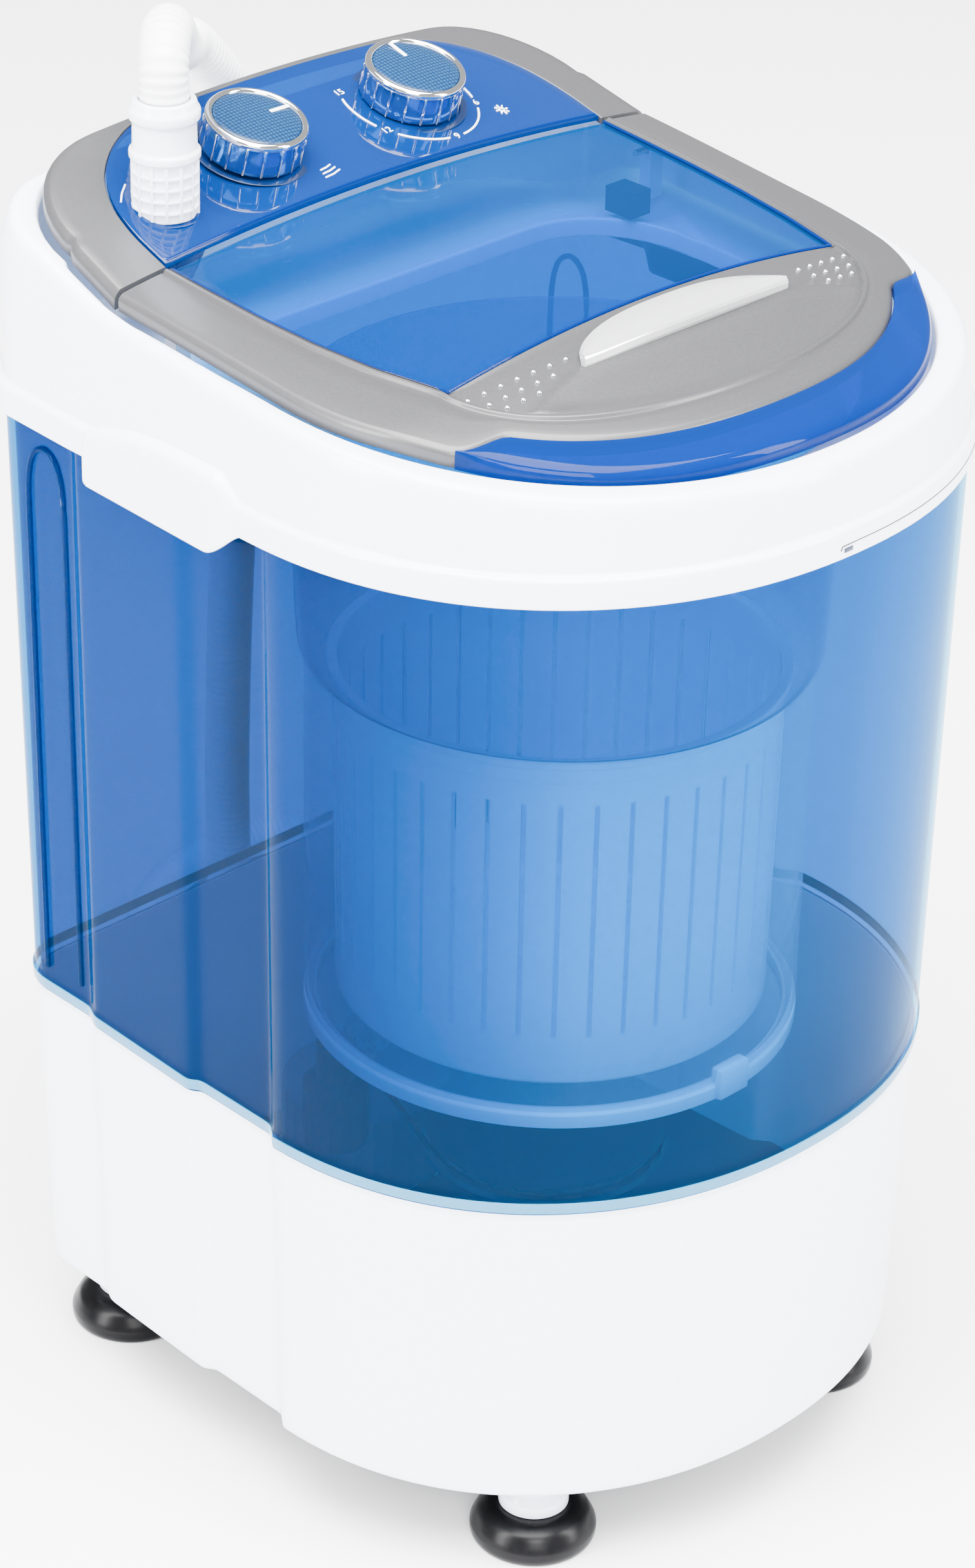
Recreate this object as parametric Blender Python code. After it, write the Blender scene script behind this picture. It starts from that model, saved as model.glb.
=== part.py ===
"""A small top load washing machine: a stepped base, a clear shell, a collar with two carry grips,
a tilted control deck, a crowned lid, and the tub, basket and belt drive inside.

Lengths here are millimetres, turned into metres when a mesh is made. +Z is up, -Y is the front,
and the origin is at the middle of the footprint, on the ground.
"""

import math
from collections import namedtuple

import bmesh
import bpy
from mathutils import Matrix, Vector

MM = 0.001
GAP = 0.3  # between touching pieces

# Heights
BASE_BOTTOM = 40.0
BASE_TOP = 192.0
SHELL_TOP = 484.0
SKIRT_BOTTOM = 477.0
SKIRT_TOP = 490.0
RIM_AT_HINGE = 541.0
WALL = 2.6

# The lid and the deck meet on the hinge line
HINGE_Y = 86.0
HINGE_Z = 552.4
LID_SLOPE = math.tan(math.radians(5.0))
DECK_SLOPE = math.tan(math.radians(16.6))
RIM_SLOPE = 0.085
CROWN_AT_HINGE = 7.0
CROWN_AT_FRONT = 12.0
CROWN_HALF_WIDTH = 128.0
LID_FALL = 16.0
WINDOW_SINK = 3.0
SHEET = 3.4
SEAM = 1.9
HINGE_AXIS = Vector((0.0, 67.0, 541.5))
PIN_RADIUS = 1.5

# Tub, basket and drive share one upright axis
AXIS_Y = -19.5
BASKET_RADIUS = 98.0
BASKET_BOTTOM = 212.0
BASKET_TOP = 372.0
TUB_RADIUS = 108.0
TUB_BOTTOM = 199.0
TUB_TOP = 377.0
SHAFT_RADIUS = 5.0
MOTOR_Y = 98.0
PULLEY_RADIUS = 55.0
MOTOR_PULLEY_RADIUS = 11.0
PULLEY_BOTTOM = 122.0
PULLEY_HEIGHT = 10.0

# Controls and the water inlet, on the deck
KNOB_X = 46.5
KNOB_Y = 126.3
KNOB_RADIUS = 22.8
KNOB_HEIGHT = 19.0
INLET_X = -103.0
INLET_Y = 116.0
PORT_RADIUS = 16.0
ADAPTER_HEIGHT = 48.0
HOSE_DIAMETER = 21.5

FRONT_STEPS = 28
CORNER_STEPS = 6
ROUND_STEPS = 32

Plan = namedtuple("Plan", "half_width depth centre power flank rear_inset corner rear")
# flank holds the (y, inset) of each corner along a side, from the front to the rear
BODY_FLANK = ((-11.5, 6.0), (34.5, 7.5), (39.5, 4.0), (106.5, 8.5), (114.5, 12.5))
COLLAR_FLANK = ((-11.5, 0.2), (34.5, 1.6), (39.5, 1.8), (106.5, 5.0), (114.5, 5.6))
LID_FLANK = ((0.0, 0.0), (30.0, 0.0), (60.0, 0.0), (HINGE_Y, 0.0), (119.0, 4.0))
MOUTH_FLANK = ((-10.0, 0.0), (0.0, 0.5), (8.0, 1.0), (14.0, 1.5), (20.0, 2.0))
BODY = Plan(167.0, 156.0, AXIS_Y, 2.15, BODY_FLANK, 13.5, 28.0, 171.5)
COLLAR = Plan(167.0, 156.0, AXIS_Y, 2.15, COLLAR_FLANK, 7.5, 42.0, 175.5)
LID = Plan(157.0, 151.0, -12.5, 2.1, LID_FLANK, 6.0, 52.0, 172.0)
MOUTH = Plan(127.0, 118.0, AXIS_Y, 2.0, MOUTH_FLANK, 3.0, 50.0, 76.0)
WINDOW_ROWS = ((85.0, 127.0), (60.0, 127.0), (30.0, 126.5), (0.0, 124.5), (-30.0, 120.5), (-62.0, 113.0))
PANEL_ROWS = ((88.0, 127.5), (110.0, 126.0), (128.0, 121.5), (144.0, 112.0), (156.0, 98.0), (165.0, 78.0))

# The inlet hose: up out of the adapter, over the rear edge, and down behind to the floor
HOSE_ROUTE = (
    (INLET_X, INLET_Y, 613.0), (INLET_X, INLET_Y, 620.0), (-100.5, 118.5, 628.5),
    (-93.0, 126.0, 634.5), (-82.0, 137.0, 632.0), (-71.0, 148.0, 625.0), (-60.0, 159.0, 616.5),
    (-50.0, 168.5, 607.0), (-39.0, 178.0, 601.0), (-26.0, 187.0, 598.0), (-14.0, 191.5, 588.0),
    (4.0, 198.0, 569.5), (18.5, 203.0, 547.0), (25.0, 203.5, 518.0), (23.0, 203.0, 470.0),
    (15.0, 202.0, 400.0), (8.0, 201.5, 300.0), (6.0, 201.5, 200.0), (12.0, 202.5, 115.0),
    (34.0, 206.0, 52.0), (70.0, 207.0, 21.0), (102.0, 205.5, 12.4), (134.0, 204.0, 11.2),
)
COIL_CENTRE = Vector((197.0, 319.0))
COIL_INNER = 96.0
COIL_OUTER = 119.0
HOSE_END_ROUTE = ((130.8, 234.3, 33.3), (151.6, 221.6, 33.3), (172.8, 214.3, 33.3))


# Materials

def material(name, colour, roughness, metallic=0.0):
    made = bpy.data.materials.new(name)
    made.use_nodes = True
    shader = made.node_tree.nodes["Principled BSDF"]
    shader.inputs["Base Color"].default_value = (*colour, 1.0)
    shader.inputs["Roughness"].default_value = roughness
    shader.inputs["Metallic"].default_value = metallic
    return made


WHITE = (0.84, 0.86, 0.90)
SILVER = (0.52, 0.53, 0.55)
CLEAR_BLUE = (0.02, 0.20, 0.62)
PALE_BLUE = (0.22, 0.55, 0.80)
BLACK = (0.02, 0.02, 0.022)
STEEL = (0.55, 0.56, 0.58)
DARK_GREY = (0.10, 0.10, 0.11)


# Shapes

def bend(value):
    """0 below 0, 1 above 1, and smooth between."""
    t = min(1.0, max(0.0, value))
    return t * t * (3.0 - 2.0 * t)


def rim_z(y):
    """Height of the collar's rim: it rises gently along the lid and steeply along the deck."""
    slope = DECK_SLOPE if y > HINGE_Y else RIM_SLOPE
    return RIM_AT_HINGE + (y - HINGE_Y) * slope


def crown(x, y):
    """How far the lid and deck bulge above their plane."""
    forward = bend((HINGE_Y - y) / 150.0)
    height = CROWN_AT_HINGE + (CROWN_AT_FRONT - CROWN_AT_HINGE) * forward
    return height * (1.0 - (x / CROWN_HALF_WIDTH) ** 2)


def lid_z(x, y):
    """Top of the closed lid, which falls away towards its front edge."""
    fall = LID_FALL * bend((-60.0 - y) / 105.0)
    return HINGE_Z + (y - HINGE_Y) * LID_SLOPE + crown(x, y) - fall


def deck_z(x, y):
    return HINGE_Z + (y - HINGE_Y) * DECK_SLOPE + crown(x, y)


def ledge_z(x, y):
    """Floor under the lid, sinking towards the rear to make room for the controls."""
    return rim_z(min(y, HINGE_Y)) - 21.0 - 20.0 * bend((y - 90.0) / 55.0)


def over(surface, offset):
    return lambda x, y: surface(x, y) + offset


def outline(plan, grow):
    """Plan outline, counter-clockwise: right flank, rear corners, left flank, bowed front."""
    a, b = plan.half_width + grow, plan.depth + grow
    flank = [(a - inset, y) for y, inset in plan.flank]
    radius = plan.corner + min(grow, 0.0)
    x, y = a - plan.rear_inset - radius, plan.rear + grow - radius
    turn = [math.radians(90.0) * i / CORNER_STEPS for i in range(CORNER_STEPS + 1)]
    corner = [(x + radius * math.cos(t), y + radius * math.sin(t)) for t in turn]
    side = flank + corner
    front = []
    for i in range(FRONT_STEPS + 1):
        c, s = -math.cos(math.pi * i / FRONT_STEPS), math.sin(math.pi * i / FRONT_STEPS)
        reach = 2.0 / plan.power
        front.append((a * math.copysign(abs(c) ** reach, c), plan.centre - b * s ** reach))
    return side + [(-px, py) for px, py in reversed(side)] + front


def outward(bm):
    """Turns every face of a closed shape to point out."""
    bmesh.ops.recalc_face_normals(bm, faces=bm.faces)
    if bm.calc_volume(signed=True) < 0.0:
        bmesh.ops.reverse_faces(bm, faces=bm.faces)
    return bm


def ring_at(plan, grow, height):
    """An outline as 3-D points. The height is a number or a function of x and y."""
    return [(x, y, height(x, y) if callable(height) else height) for x, y in outline(plan, grow)]


def loft(rings, closed):
    """Joins rings of equal count into a solid: a closed sleeve, or a stack with flat ends."""
    bm = bmesh.new()
    made = []
    for ring in rings:
        verts = [bm.verts.new(point) for point in ring]
        made.append((verts, [bm.edges.new((verts[i - 1], verts[i])) for i in range(len(verts))]))
    pairs = list(zip(made, made[1:]))
    if closed:
        pairs.append((made[-1], made[0]))
    else:
        bm.faces.new(made[0][0])
        bm.faces.new(made[-1][0])
    for (first, _), (second, _) in pairs:
        for i in range(len(first)):
            bm.faces.new((first[i - 1], first[i], second[i], second[i - 1]))
    return outward(bm)


def turned(profile, steps=ROUND_STEPS):
    """A closed (radius, height) profile spun about Z. Points on the axis are merged."""
    bm = bmesh.new()
    verts = [bm.verts.new((r, 0.0, z)) for r, z in profile]
    edges = [bm.edges.new((verts[i - 1], verts[i])) for i in range(len(verts))]
    bmesh.ops.spin(bm, geom=verts + edges, cent=(0, 0, 0), axis=(0, 0, 1),
                   angle=math.tau, steps=steps, use_merge=True)
    bmesh.ops.remove_doubles(bm, verts=bm.verts, dist=0.001)
    bmesh.ops.dissolve_degenerate(bm, edges=bm.edges, dist=0.001)
    loose = [face for face in bm.faces if face.calc_area() < 1e-6]
    bmesh.ops.delete(bm, geom=loose, context="FACES_ONLY")
    wires = [edge for edge in bm.edges if not edge.link_faces]
    bmesh.ops.delete(bm, geom=wires, context="EDGES")
    return outward(bm)


def rod(radius, bottom, top, steps=ROUND_STEPS):
    bm = bmesh.new()
    bmesh.ops.create_cone(bm, cap_ends=True, segments=steps, radius1=radius, radius2=radius,
                          depth=top - bottom)
    bmesh.ops.translate(bm, verts=bm.verts, vec=(0, 0, (top + bottom) / 2.0))
    return bm


def tube(inner, outer, bottom, top, steps=ROUND_STEPS):
    return turned([(outer, top), (outer, bottom), (inner, bottom), (inner, top)], steps)


def block(low, high):
    bm = bmesh.new()
    bmesh.ops.create_cube(bm, size=1.0)
    size = [h - l for l, h in zip(low, high)]
    bmesh.ops.scale(bm, verts=bm.verts, vec=size)
    bmesh.ops.translate(bm, verts=bm.verts, vec=[(l + h) / 2.0 for l, h in zip(low, high)])
    return bm


def prism(points, bottom, top):
    """A flat outline pulled up into a solid."""
    return loft([[(x, y, bottom) for x, y in points], [(x, y, top) for x, y in points]], False)


def patch(rows, surface, above, below, columns=14):
    """A crowned plate over rows of (y, half width), between two offsets from a surface."""
    bm = bmesh.new()
    sheets = []
    for offset in (above, below):
        sheet = []
        for y, half in rows:
            xs = [half * (2.0 * i / columns - 1.0) for i in range(columns + 1)]
            sheet.append([bm.verts.new((x, y, surface(x, y) + offset)) for x in xs])
        sheets.append(sheet)
        for near, far in zip(sheet, sheet[1:]):
            for i in range(columns):
                bm.faces.new((near[i], near[i + 1], far[i + 1], far[i]))
    top, bottom = [edge_loop(sheet) for sheet in sheets]
    for i in range(len(top)):
        bm.faces.new((top[i - 1], top[i], bottom[i], bottom[i - 1]))
    return outward(bm)


def edge_loop(sheet):
    """The boundary of a grid of vertices, in order."""
    left = [row[0] for row in sheet[1:-1]]
    right = [row[-1] for row in sheet[1:-1]]
    return sheet[0] + right + sheet[-1][::-1] + left[::-1]


def move(bm, x=0.0, y=0.0, z=0.0):
    bmesh.ops.translate(bm, verts=bm.verts, vec=(x, y, z))
    return bm


def tilt(bm, degrees):
    """Leans a shape back about X, to stand square on the deck."""
    bmesh.ops.rotate(bm, verts=bm.verts, cent=(0, 0, 0),
                     matrix=Matrix.Rotation(math.radians(degrees), 3, "X"))
    return bm


def piece(name, bm, finish, origin=(0.0, 0.0, 0.0)):
    """Turns a shape in millimetres into a named object in metres, with its origin where asked."""
    start = Vector(origin)
    bmesh.ops.translate(bm, verts=bm.verts, vec=-start)
    bmesh.ops.scale(bm, verts=bm.verts, vec=(MM, MM, MM))
    mesh = bpy.data.meshes.new(name)
    bm.to_mesh(mesh)
    bm.free()
    mesh.shade_smooth()
    mesh.set_sharp_from_angle(angle=math.radians(35))
    mesh.materials.append(finish)
    obj = bpy.data.objects.new(name, mesh)
    obj.location = start * MM
    bpy.context.scene.collection.objects.link(obj)
    return obj


def boolean(target, operation, cutter):
    """Cuts or joins a hidden helper object."""
    cutter.hide_render = True
    cutter.display_type = "WIRE"
    modifier = target.modifiers.new(cutter.name, "BOOLEAN")
    modifier.operation = operation
    modifier.object = cutter
    modifier.solver = "EXACT"


def joined(shapes):
    """Several shapes in one mesh, for a cutter."""
    bm = bmesh.new()
    for shape in shapes:
        mesh = bpy.data.meshes.new("shape")
        shape.to_mesh(mesh)
        shape.free()
        bm.from_mesh(mesh)
        bpy.data.meshes.remove(mesh)
    return bm


# Casing

def side_grow(z):
    """The walls lean out a little from the base to the collar."""
    if z < BASE_TOP:
        return -5.0 * (BASE_TOP - z) / (BASE_TOP - BASE_BOTTOM)
    return 4.0 * (z - BASE_TOP) / (SKIRT_BOTTOM - BASE_TOP)


def wall_ring(z, inward=0.0):
    return ring_at(BODY, side_grow(z) - inward, z)


def make_base(white, grey):
    outer = [wall_ring(BASE_BOTTOM, 7.0), wall_ring(41.5, 2.6), wall_ring(46.0), wall_ring(118.0)]
    inner = [wall_ring(118.0, WALL), wall_ring(48.0, WALL), wall_ring(43.5, 7.0)]
    top = BASE_TOP - GAP / 2.0
    piece("base_housing", loft(outer + [wall_ring(top), wall_ring(top, WALL)] + inner, True), white)
    plate = [ring_at(BODY, side_grow(46.0) - 3.4, z) for z in (48.3, 50.8)]
    piece("bottom_plate", loft(plate, False), grey)


def make_feet(white, black):
    stem = [(0, 48.0), (9.5, 48.0), (9.5, 43.0), (12.5, 43.0), (12.5, 25.0), (15.5, 22.0), (15.5, 17.3), (0, 17.3)]
    pad = [(0, 17.0), (19.0, 17.0), (24.5, 14.5), (28.0, 8.0), (28.3, 3.0), (26.5, 0.0), (20.0, 0.0),
           (14.0, 2.5), (0, 3.5)]
    places = {"front_left": (-93.0, -108.0), "front_right": (93.0, -108.0),
              "rear_left": (-112.0, 140.0), "rear_right": (112.0, 140.0)}
    for where, (x, y) in places.items():
        piece(f"foot_stem_{where}", move(turned(stem, 24), x, y), white)
        piece(f"foot_pad_{where}", move(turned(pad, 24), x, y), black)


def make_shell(blue):
    low = BASE_TOP + GAP / 2.0
    outer = [wall_ring(low), wall_ring(330.0), wall_ring(SHELL_TOP)]
    inner = [wall_ring(SHELL_TOP, WALL), wall_ring(330.0, WALL), wall_ring(low, WALL)]
    piece("body_shell", loft(outer + inner, True), blue)


def grip(side):
    """A carry grip: a smooth lug that hangs under the collar's skirt, hollow behind for fingers."""
    rings = []
    for y, drop, proud in ((-6.0, 2.0, 0.8), (4.0, 9.0, 2.2), (14.0, 12.0, 3.2), (45.0, 13.0, 3.6),
                           (76.0, 12.0, 3.2), (86.0, 9.0, 2.2), (92.0, 2.0, 0.8)):
        inset = 0.2 + max(0.0, y + 11.5) * 0.0405
        face = COLLAR.half_width + 6.5 - inset
        back = face - 2.8
        low = SKIRT_BOTTOM - drop
        rings.append([(side * x, y, z) for x, z in (
            (back, low + 0.5), (face + proud - 1.0, low), (face + proud, low + 1.5),
            (face + proud, SKIRT_TOP + 2.0), (face - 1.5, SKIRT_TOP + 6.0 + drop * 0.25),
            (back - 2.0, SKIRT_TOP + 6.0), (back - 2.0, SKIRT_TOP), (back, SKIRT_TOP - 1.0))])
    return loft(rings, False)


def make_collar(white):
    def rim(drop):
        return lambda x, y: rim_z(y) - drop

    def floor(drop):
        return lambda x, y: ledge_z(x, y) - drop

    rings = [ring_at(COLLAR, 6.0, SKIRT_BOTTOM), ring_at(COLLAR, 6.7, SKIRT_BOTTOM + 1.5),
             ring_at(COLLAR, 6.7, SKIRT_TOP - 1.5), ring_at(COLLAR, 5.6, SKIRT_TOP),
             ring_at(COLLAR, 3.2, SKIRT_TOP + 1.0), ring_at(COLLAR, 2.6, rim(10.0)),
             ring_at(COLLAR, 1.6, rim(5.0)), ring_at(COLLAR, -0.8, rim(1.6)), ring_at(COLLAR, -4.2, rim(0.0)),
             ring_at(LID, 1.6, rim(1.0)), ring_at(LID, 0.8, rim(2.2)), ring_at(LID, 0.8, floor(0.0)),
             ring_at(MOUTH, 0.0, floor(0.0)), ring_at(MOUTH, 0.0, floor(9.0)),
             ring_at(MOUTH, 2.6, floor(9.0)), ring_at(MOUTH, 2.6, floor(WALL)),
             ring_at(LID, 0.0, floor(WALL)), ring_at(COLLAR, 0.6, SKIRT_TOP - 0.5),
             ring_at(COLLAR, 4.5, SKIRT_TOP - 4.5), ring_at(COLLAR, 4.5, SKIRT_BOTTOM)]
    collar = piece("top_collar", loft(rings, True), white)
    for side, name in ((-1, "left"), (1, "right")):
        boolean(collar, "UNION", piece(f"grip_{name}", grip(side), white))


# Deck

def opening(rows, grow, count, y_start):
    """An opening's edge from (y, half width) rows: down the right, across the far end, up the left."""
    far = math.copysign(grow, rows[-1][0] - rows[0][0])
    side = [(half + grow, y) for y, half in rows]
    side[0] = (side[0][0], y_start)
    side[-1] = (side[-1][0], side[-1][1] + far)
    spare = count - 2 * len(side)
    x, y = side[-1]
    across = [(x * (1.0 - 2.0 * (i + 1) / (spare + 1)), y) for i in range(spare)]
    return side + across + [(-px, py) for px, py in reversed(side)]


def deck_edge(grow):
    """The lid plan's outline behind the hinge line, from the right round the rear to the left."""
    points = [(x, y) for x, y in outline(LID, grow) if y > HINGE_Y + SEAM]
    start = (LID.half_width + grow, HINGE_Y + SEAM - 0.6)
    return [start] + points + [(-start[0], start[1])]


def lifted(points, surface):
    return [(x, y, surface(x, y)) for x, y in points]


def strip(rings):
    """A closed solid strip from open rings: sleeve around, and a flat face at each end."""
    bm = bmesh.new()
    made = [[bm.verts.new(point) for point in ring] for ring in rings]
    for first, second in zip(made, made[1:] + made[:1]):
        for i in range(1, len(first)):
            bm.faces.new((first[i - 1], first[i], second[i], second[i - 1]))
    bm.faces.new([ring[0] for ring in made])
    bm.faces.new([ring[-1] for ring in made])
    return outward(bm)


def make_deck(silver, blue):
    count = len(deck_edge(0.0))
    start = HINGE_Y + SEAM - 0.6
    inner = opening(PANEL_ROWS, 1.3, count, start)
    rings = [lifted(deck_edge(-0.6), over(deck_z, -8.0)), lifted(deck_edge(-0.6), over(deck_z, -2.6)),
             lifted(deck_edge(-2.6), over(deck_z, -1.0)), lifted(inner, deck_z),
             lifted(inner, over(deck_z, -SHEET)), lifted(deck_edge(-4.6), over(deck_z, -4.4)),
             lifted(deck_edge(-3.2), over(deck_z, -8.0))]
    piece("deck_frame", strip(rings), silver)
    panel = piece("control_panel", patch(PANEL_ROWS, deck_z, 0.6, -2.0), blue)
    holes = []
    for x in (-KNOB_X, KNOB_X):
        holes.append(move(tilt(rod(4.6, -20.0, 20.0, 20), 16.6), x, KNOB_Y, deck_z(x, KNOB_Y)))
    holes.append(move(rod(PORT_RADIUS, -20.0, 20.0), INLET_X, INLET_Y, deck_z(INLET_X, INLET_Y)))
    boolean(panel, "DIFFERENCE", piece("panel_holes", joined(holes), blue))


def make_knob(name, x, rise, chrome, blue, steel, grey):
    """A fluted knob with its insert and shaft, and the switch that it turns, square on the deck."""
    base = Vector((x, KNOB_Y, deck_z(x, KNOB_Y)))
    flutes = 18
    rings = []
    for radius, z, depth in ((KNOB_RADIUS + 0.6, 1.8, 0.0), (KNOB_RADIUS + 0.4, 3.2, 0.5),
                             (KNOB_RADIUS - 0.6, 15.5, 0.5), (KNOB_RADIUS - 0.4, 16.5, 0.0),
                             (KNOB_RADIUS - 1.6, 17.6, 0.0)):
        ring = []
        for i in range(flutes * 2):
            angle = math.tau * i / (flutes * 2)
            r = radius - (depth if i % 2 else 0.0)
            ring.append((r * math.cos(angle), r * math.sin(angle), z))
        rings.append(ring)
    body = piece(f"{name}_knob", move(tilt(loft(rings, False), 16.6), *base), chrome, base)
    well = turned([(0, 24.0), (KNOB_RADIUS - 3.4, 24.0), (KNOB_RADIUS - 3.4, 16.2), (0, 16.2)], flutes * 2)
    bore = rod(3.4, 0.0, 12.0, 16)
    cut = joined([move(tilt(well, 16.6), *base), move(tilt(bore, 16.6), *base)])
    boolean(body, "DIFFERENCE", piece(f"{name}_knob_well", cut, chrome, base))
    cap = turned([(0, 18.9), (10.0, 18.6), (KNOB_RADIUS - 3.8, 17.4), (KNOB_RADIUS - 3.8, 16.5), (0, 16.5)])
    piece(f"{name}_knob_insert", move(tilt(cap, 16.6), *base), blue, base)
    piece(f"{name}_shaft", move(tilt(rod(3.0, rise + 0.3, 11.7, 16), 16.6), *base), steel, base)
    box = turned([(0, rise), (6.0, rise), (6.0, -6.0), (17.0, -6.0), (17.0, -24.0), (0, -24.0)], 20)
    box_name = "wash_timer" if name == "timer" else "mode_switch"
    switch = piece(box_name, move(tilt(box, 16.6), *base), grey, base)
    clear = piece(f"{name}_clearance", move(tilt(rod(3.3, -22.0, 2.0, 16), 16.6), *base), grey, base)
    boolean(switch, "DIFFERENCE", clear)


def make_inlet(white, blue):
    z = deck_z(INLET_X, INLET_Y)
    funnel = [(PORT_RADIUS - 0.3, z - 3.5), (PORT_RADIUS - 0.3, z - 9.0), (12.0, z - 30.0),
              (9.6, z - 30.0), (9.6, z - 15.0), (13.0, z - 9.0), (13.0, z - 3.5)]
    flange = [(PORT_RADIUS + 3.0, z - 9.5), (PORT_RADIUS + 3.0, z - 12.0)]
    profile = [funnel[0]] + [(PORT_RADIUS - 0.3, z - 9.5)] + flange + funnel[2:]
    piece("inlet_port", move(turned(profile), INLET_X, INLET_Y), blue)
    low, top = z - 3.0, z + ADAPTER_HEIGHT
    rib = [(14.4, low), (11.0, low), (11.0, top), (13.8, top), (15.2, top - 2.0), (15.2, top - 5.0),
           (13.6, top - 6.0), (13.9, top - 20.0), (15.0, top - 21.0), (15.0, top - 24.0), (14.2, top - 25.0)]
    piece("hose_adapter", move(turned(rib[::-1]), INLET_X, INLET_Y), white)
    return top


# Lid, modelled closed, hinged at the seam

def lid_front(grow):
    """The lid's outer outline in front of the hinge line, from the right round to the left."""
    points = outline(LID, grow)
    flank = [(LID.half_width + grow, y) for y in (HINGE_Y - 0.6, 60.0, 30.0, 0.0)]
    front = points[-(FRONT_STEPS + 1):][::-1]
    return flank + front + [(-x, y) for x, y in reversed(flank)]


def between(first, second, share):
    return [(ax + (bx - ax) * share, ay + (by - ay) * share) for (ax, ay), (bx, by) in zip(first, second)]


def lens_outline():
    """A crescent along the lid's front edge, deepest at the middle."""
    outer = [(x, y) for x, y in lid_front(-6.0) if abs(x) < 131.0 and y < 0.0]
    inner = [(-121.0, -91.0), (-105.0, -104.0), (-91.0, -113.0), (-57.0, -129.0), (0.0, -139.0),
             (57.0, -129.0), (91.0, -113.0), (105.0, -104.0), (121.0, -91.0)]
    return outer + inner


def grown(points, by):
    """A closed outline with every side moved out by the same distance."""
    area = sum(p[0] * q[1] - q[0] * p[1] for p, q in zip(points, points[1:] + points[:1]))
    by = math.copysign(by, area)
    out = []
    for i, point in enumerate(points):
        here = Vector(point)
        before = (here - Vector(points[i - 1])).normalized()
        after = (Vector(points[(i + 1) % len(points)]) - here).normalized()
        miter = Vector((before.y + after.y, -before.x - after.x)).normalized()
        reach = by / max(0.4, miter.dot(Vector((before.y, -before.x))))
        out.append(tuple(here + miter * reach))
    return out


def make_lid(silver, blue, chrome):
    outer, shoulder, hem = lid_front(-0.6), lid_front(-2.6), lid_front(-4.6)
    inner = opening(WINDOW_ROWS, 1.2, len(outer), HINGE_Y - 0.6)
    spans = [between(shoulder, inner, share) for share in (0.25, 0.5, 0.75, 1.0)]
    rings = [lifted(outer, over(lid_z, -7.5)), lifted(outer, over(lid_z, -2.6)),
             lifted(shoulder, over(lid_z, -1.0))]
    rings += [lifted(span, lid_z) for span in spans] + [lifted(span, over(lid_z, -SHEET)) for span in spans[::-1]]
    rings += [lifted(hem, over(lid_z, -4.4)), lifted(lid_front(-3.2), over(lid_z, -7.5))]
    frame = piece("lid_frame", strip(rings), silver, HINGE_AXIS)
    lens = lens_outline()
    hole = grown(lens, 0.5)
    slot = loft([lifted(hole, over(lid_z, -14.0)), lifted(hole, over(lid_z, 14.0))], False)
    boolean(frame, "DIFFERENCE", piece("lens_slot", slot, silver, HINGE_AXIS))
    face = loft([lifted(lens, over(lid_z, -3.0)), lifted(lens, over(lid_z, 0.8))], False)
    piece("lid_front_lens", face, blue, HINGE_AXIS)
    rows = [(y if i else HINGE_Y - 0.6, half) for i, (y, half) in enumerate(WINDOW_ROWS)]
    piece("lid_window", patch(rows, lid_z, -WINDOW_SINK, -WINDOW_SINK - 2.4), blue, HINGE_AXIS)
    rows = ((-86.0, 58.0), (-82.0, 56.0), (-77.0, 48.0), (-73.0, 36.0), (-69.5, 20.0), (-68.0, 6.0))
    piece("lid_handle", patch(rows, lid_z, 6.4, 1.4, 10), chrome, HINGE_AXIS)


def make_hinges(steel, white):
    """Each pin turns with the lid, in an open-topped bracket that stands on the collar's ledge."""
    _, y, z = HINGE_AXIS
    for side, name in ((-1.0, "left"), (1.0, "right")):
        pin = rod(PIN_RADIUS, 129.0, 145.5, 16)
        bmesh.ops.rotate(pin, verts=pin.verts, cent=(0, 0, 0),
                         matrix=Matrix.Rotation(math.radians(90.0) * side, 3, "Y"))
        piece(f"hinge_pin_{name}", move(pin, 0.0, y, z), steel, HINGE_AXIS)
        low = max(ledge_z(0.0, y - 4.0), ledge_z(0.0, y + 4.0)) + GAP
        ends = sorted((side * 136.0, side * 144.0))
        bracket = piece(f"hinge_bracket_{name}",
                        block((ends[0], y - 3.2, low), (ends[1], y + 3.2, z + 1.2)), white)
        slot = block((ends[0] - 2.0, y - PIN_RADIUS - GAP, z - PIN_RADIUS - GAP),
                     (ends[1] + 2.0, y + PIN_RADIUS + GAP, z + 10.0))
        boolean(bracket, "DIFFERENCE", piece(f"hinge_slot_{name}", slot, white))


# Tub, basket and pulsator

def at_axis(bm):
    return move(bm, 0.0, AXIS_Y)


def make_tub(pale, blue, grey):
    b, r = TUB_BOTTOM, TUB_RADIUS
    wall = 2.5
    tub = [(r, TUB_TOP), (r, b), (13.2, b), (13.2, b + 3.0), (r - 10.0, b + 3.0), (r - wall, b + 12.0),
           (r - wall, TUB_TOP)]
    piece("wash_tub", at_axis(turned(tub[::-1], 40)), pale)
    low, top = TUB_TOP + GAP, rim_z(-140.0) - 21.0 - 9.0 - 3.0
    ring = [(r + 1.0, low), (r + 6.0, low + 6.0), (r + 9.0, top), (r + 6.5, top), (r + 3.5, low + 7.0), (r - wall, low)]
    piece("splash_ring", at_axis(turned(ring[::-1], 40)), blue)
    seal = [(12.9, b + 2.6), (12.9, b - 1.0), (8.0, b - 1.0), (8.0, b + 1.0), (SHAFT_RADIUS + 0.4, b + 1.0),
            (SHAFT_RADIUS + 0.4, b + 2.6)]
    piece("shaft_seal", at_axis(turned(seal)), grey)


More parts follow.
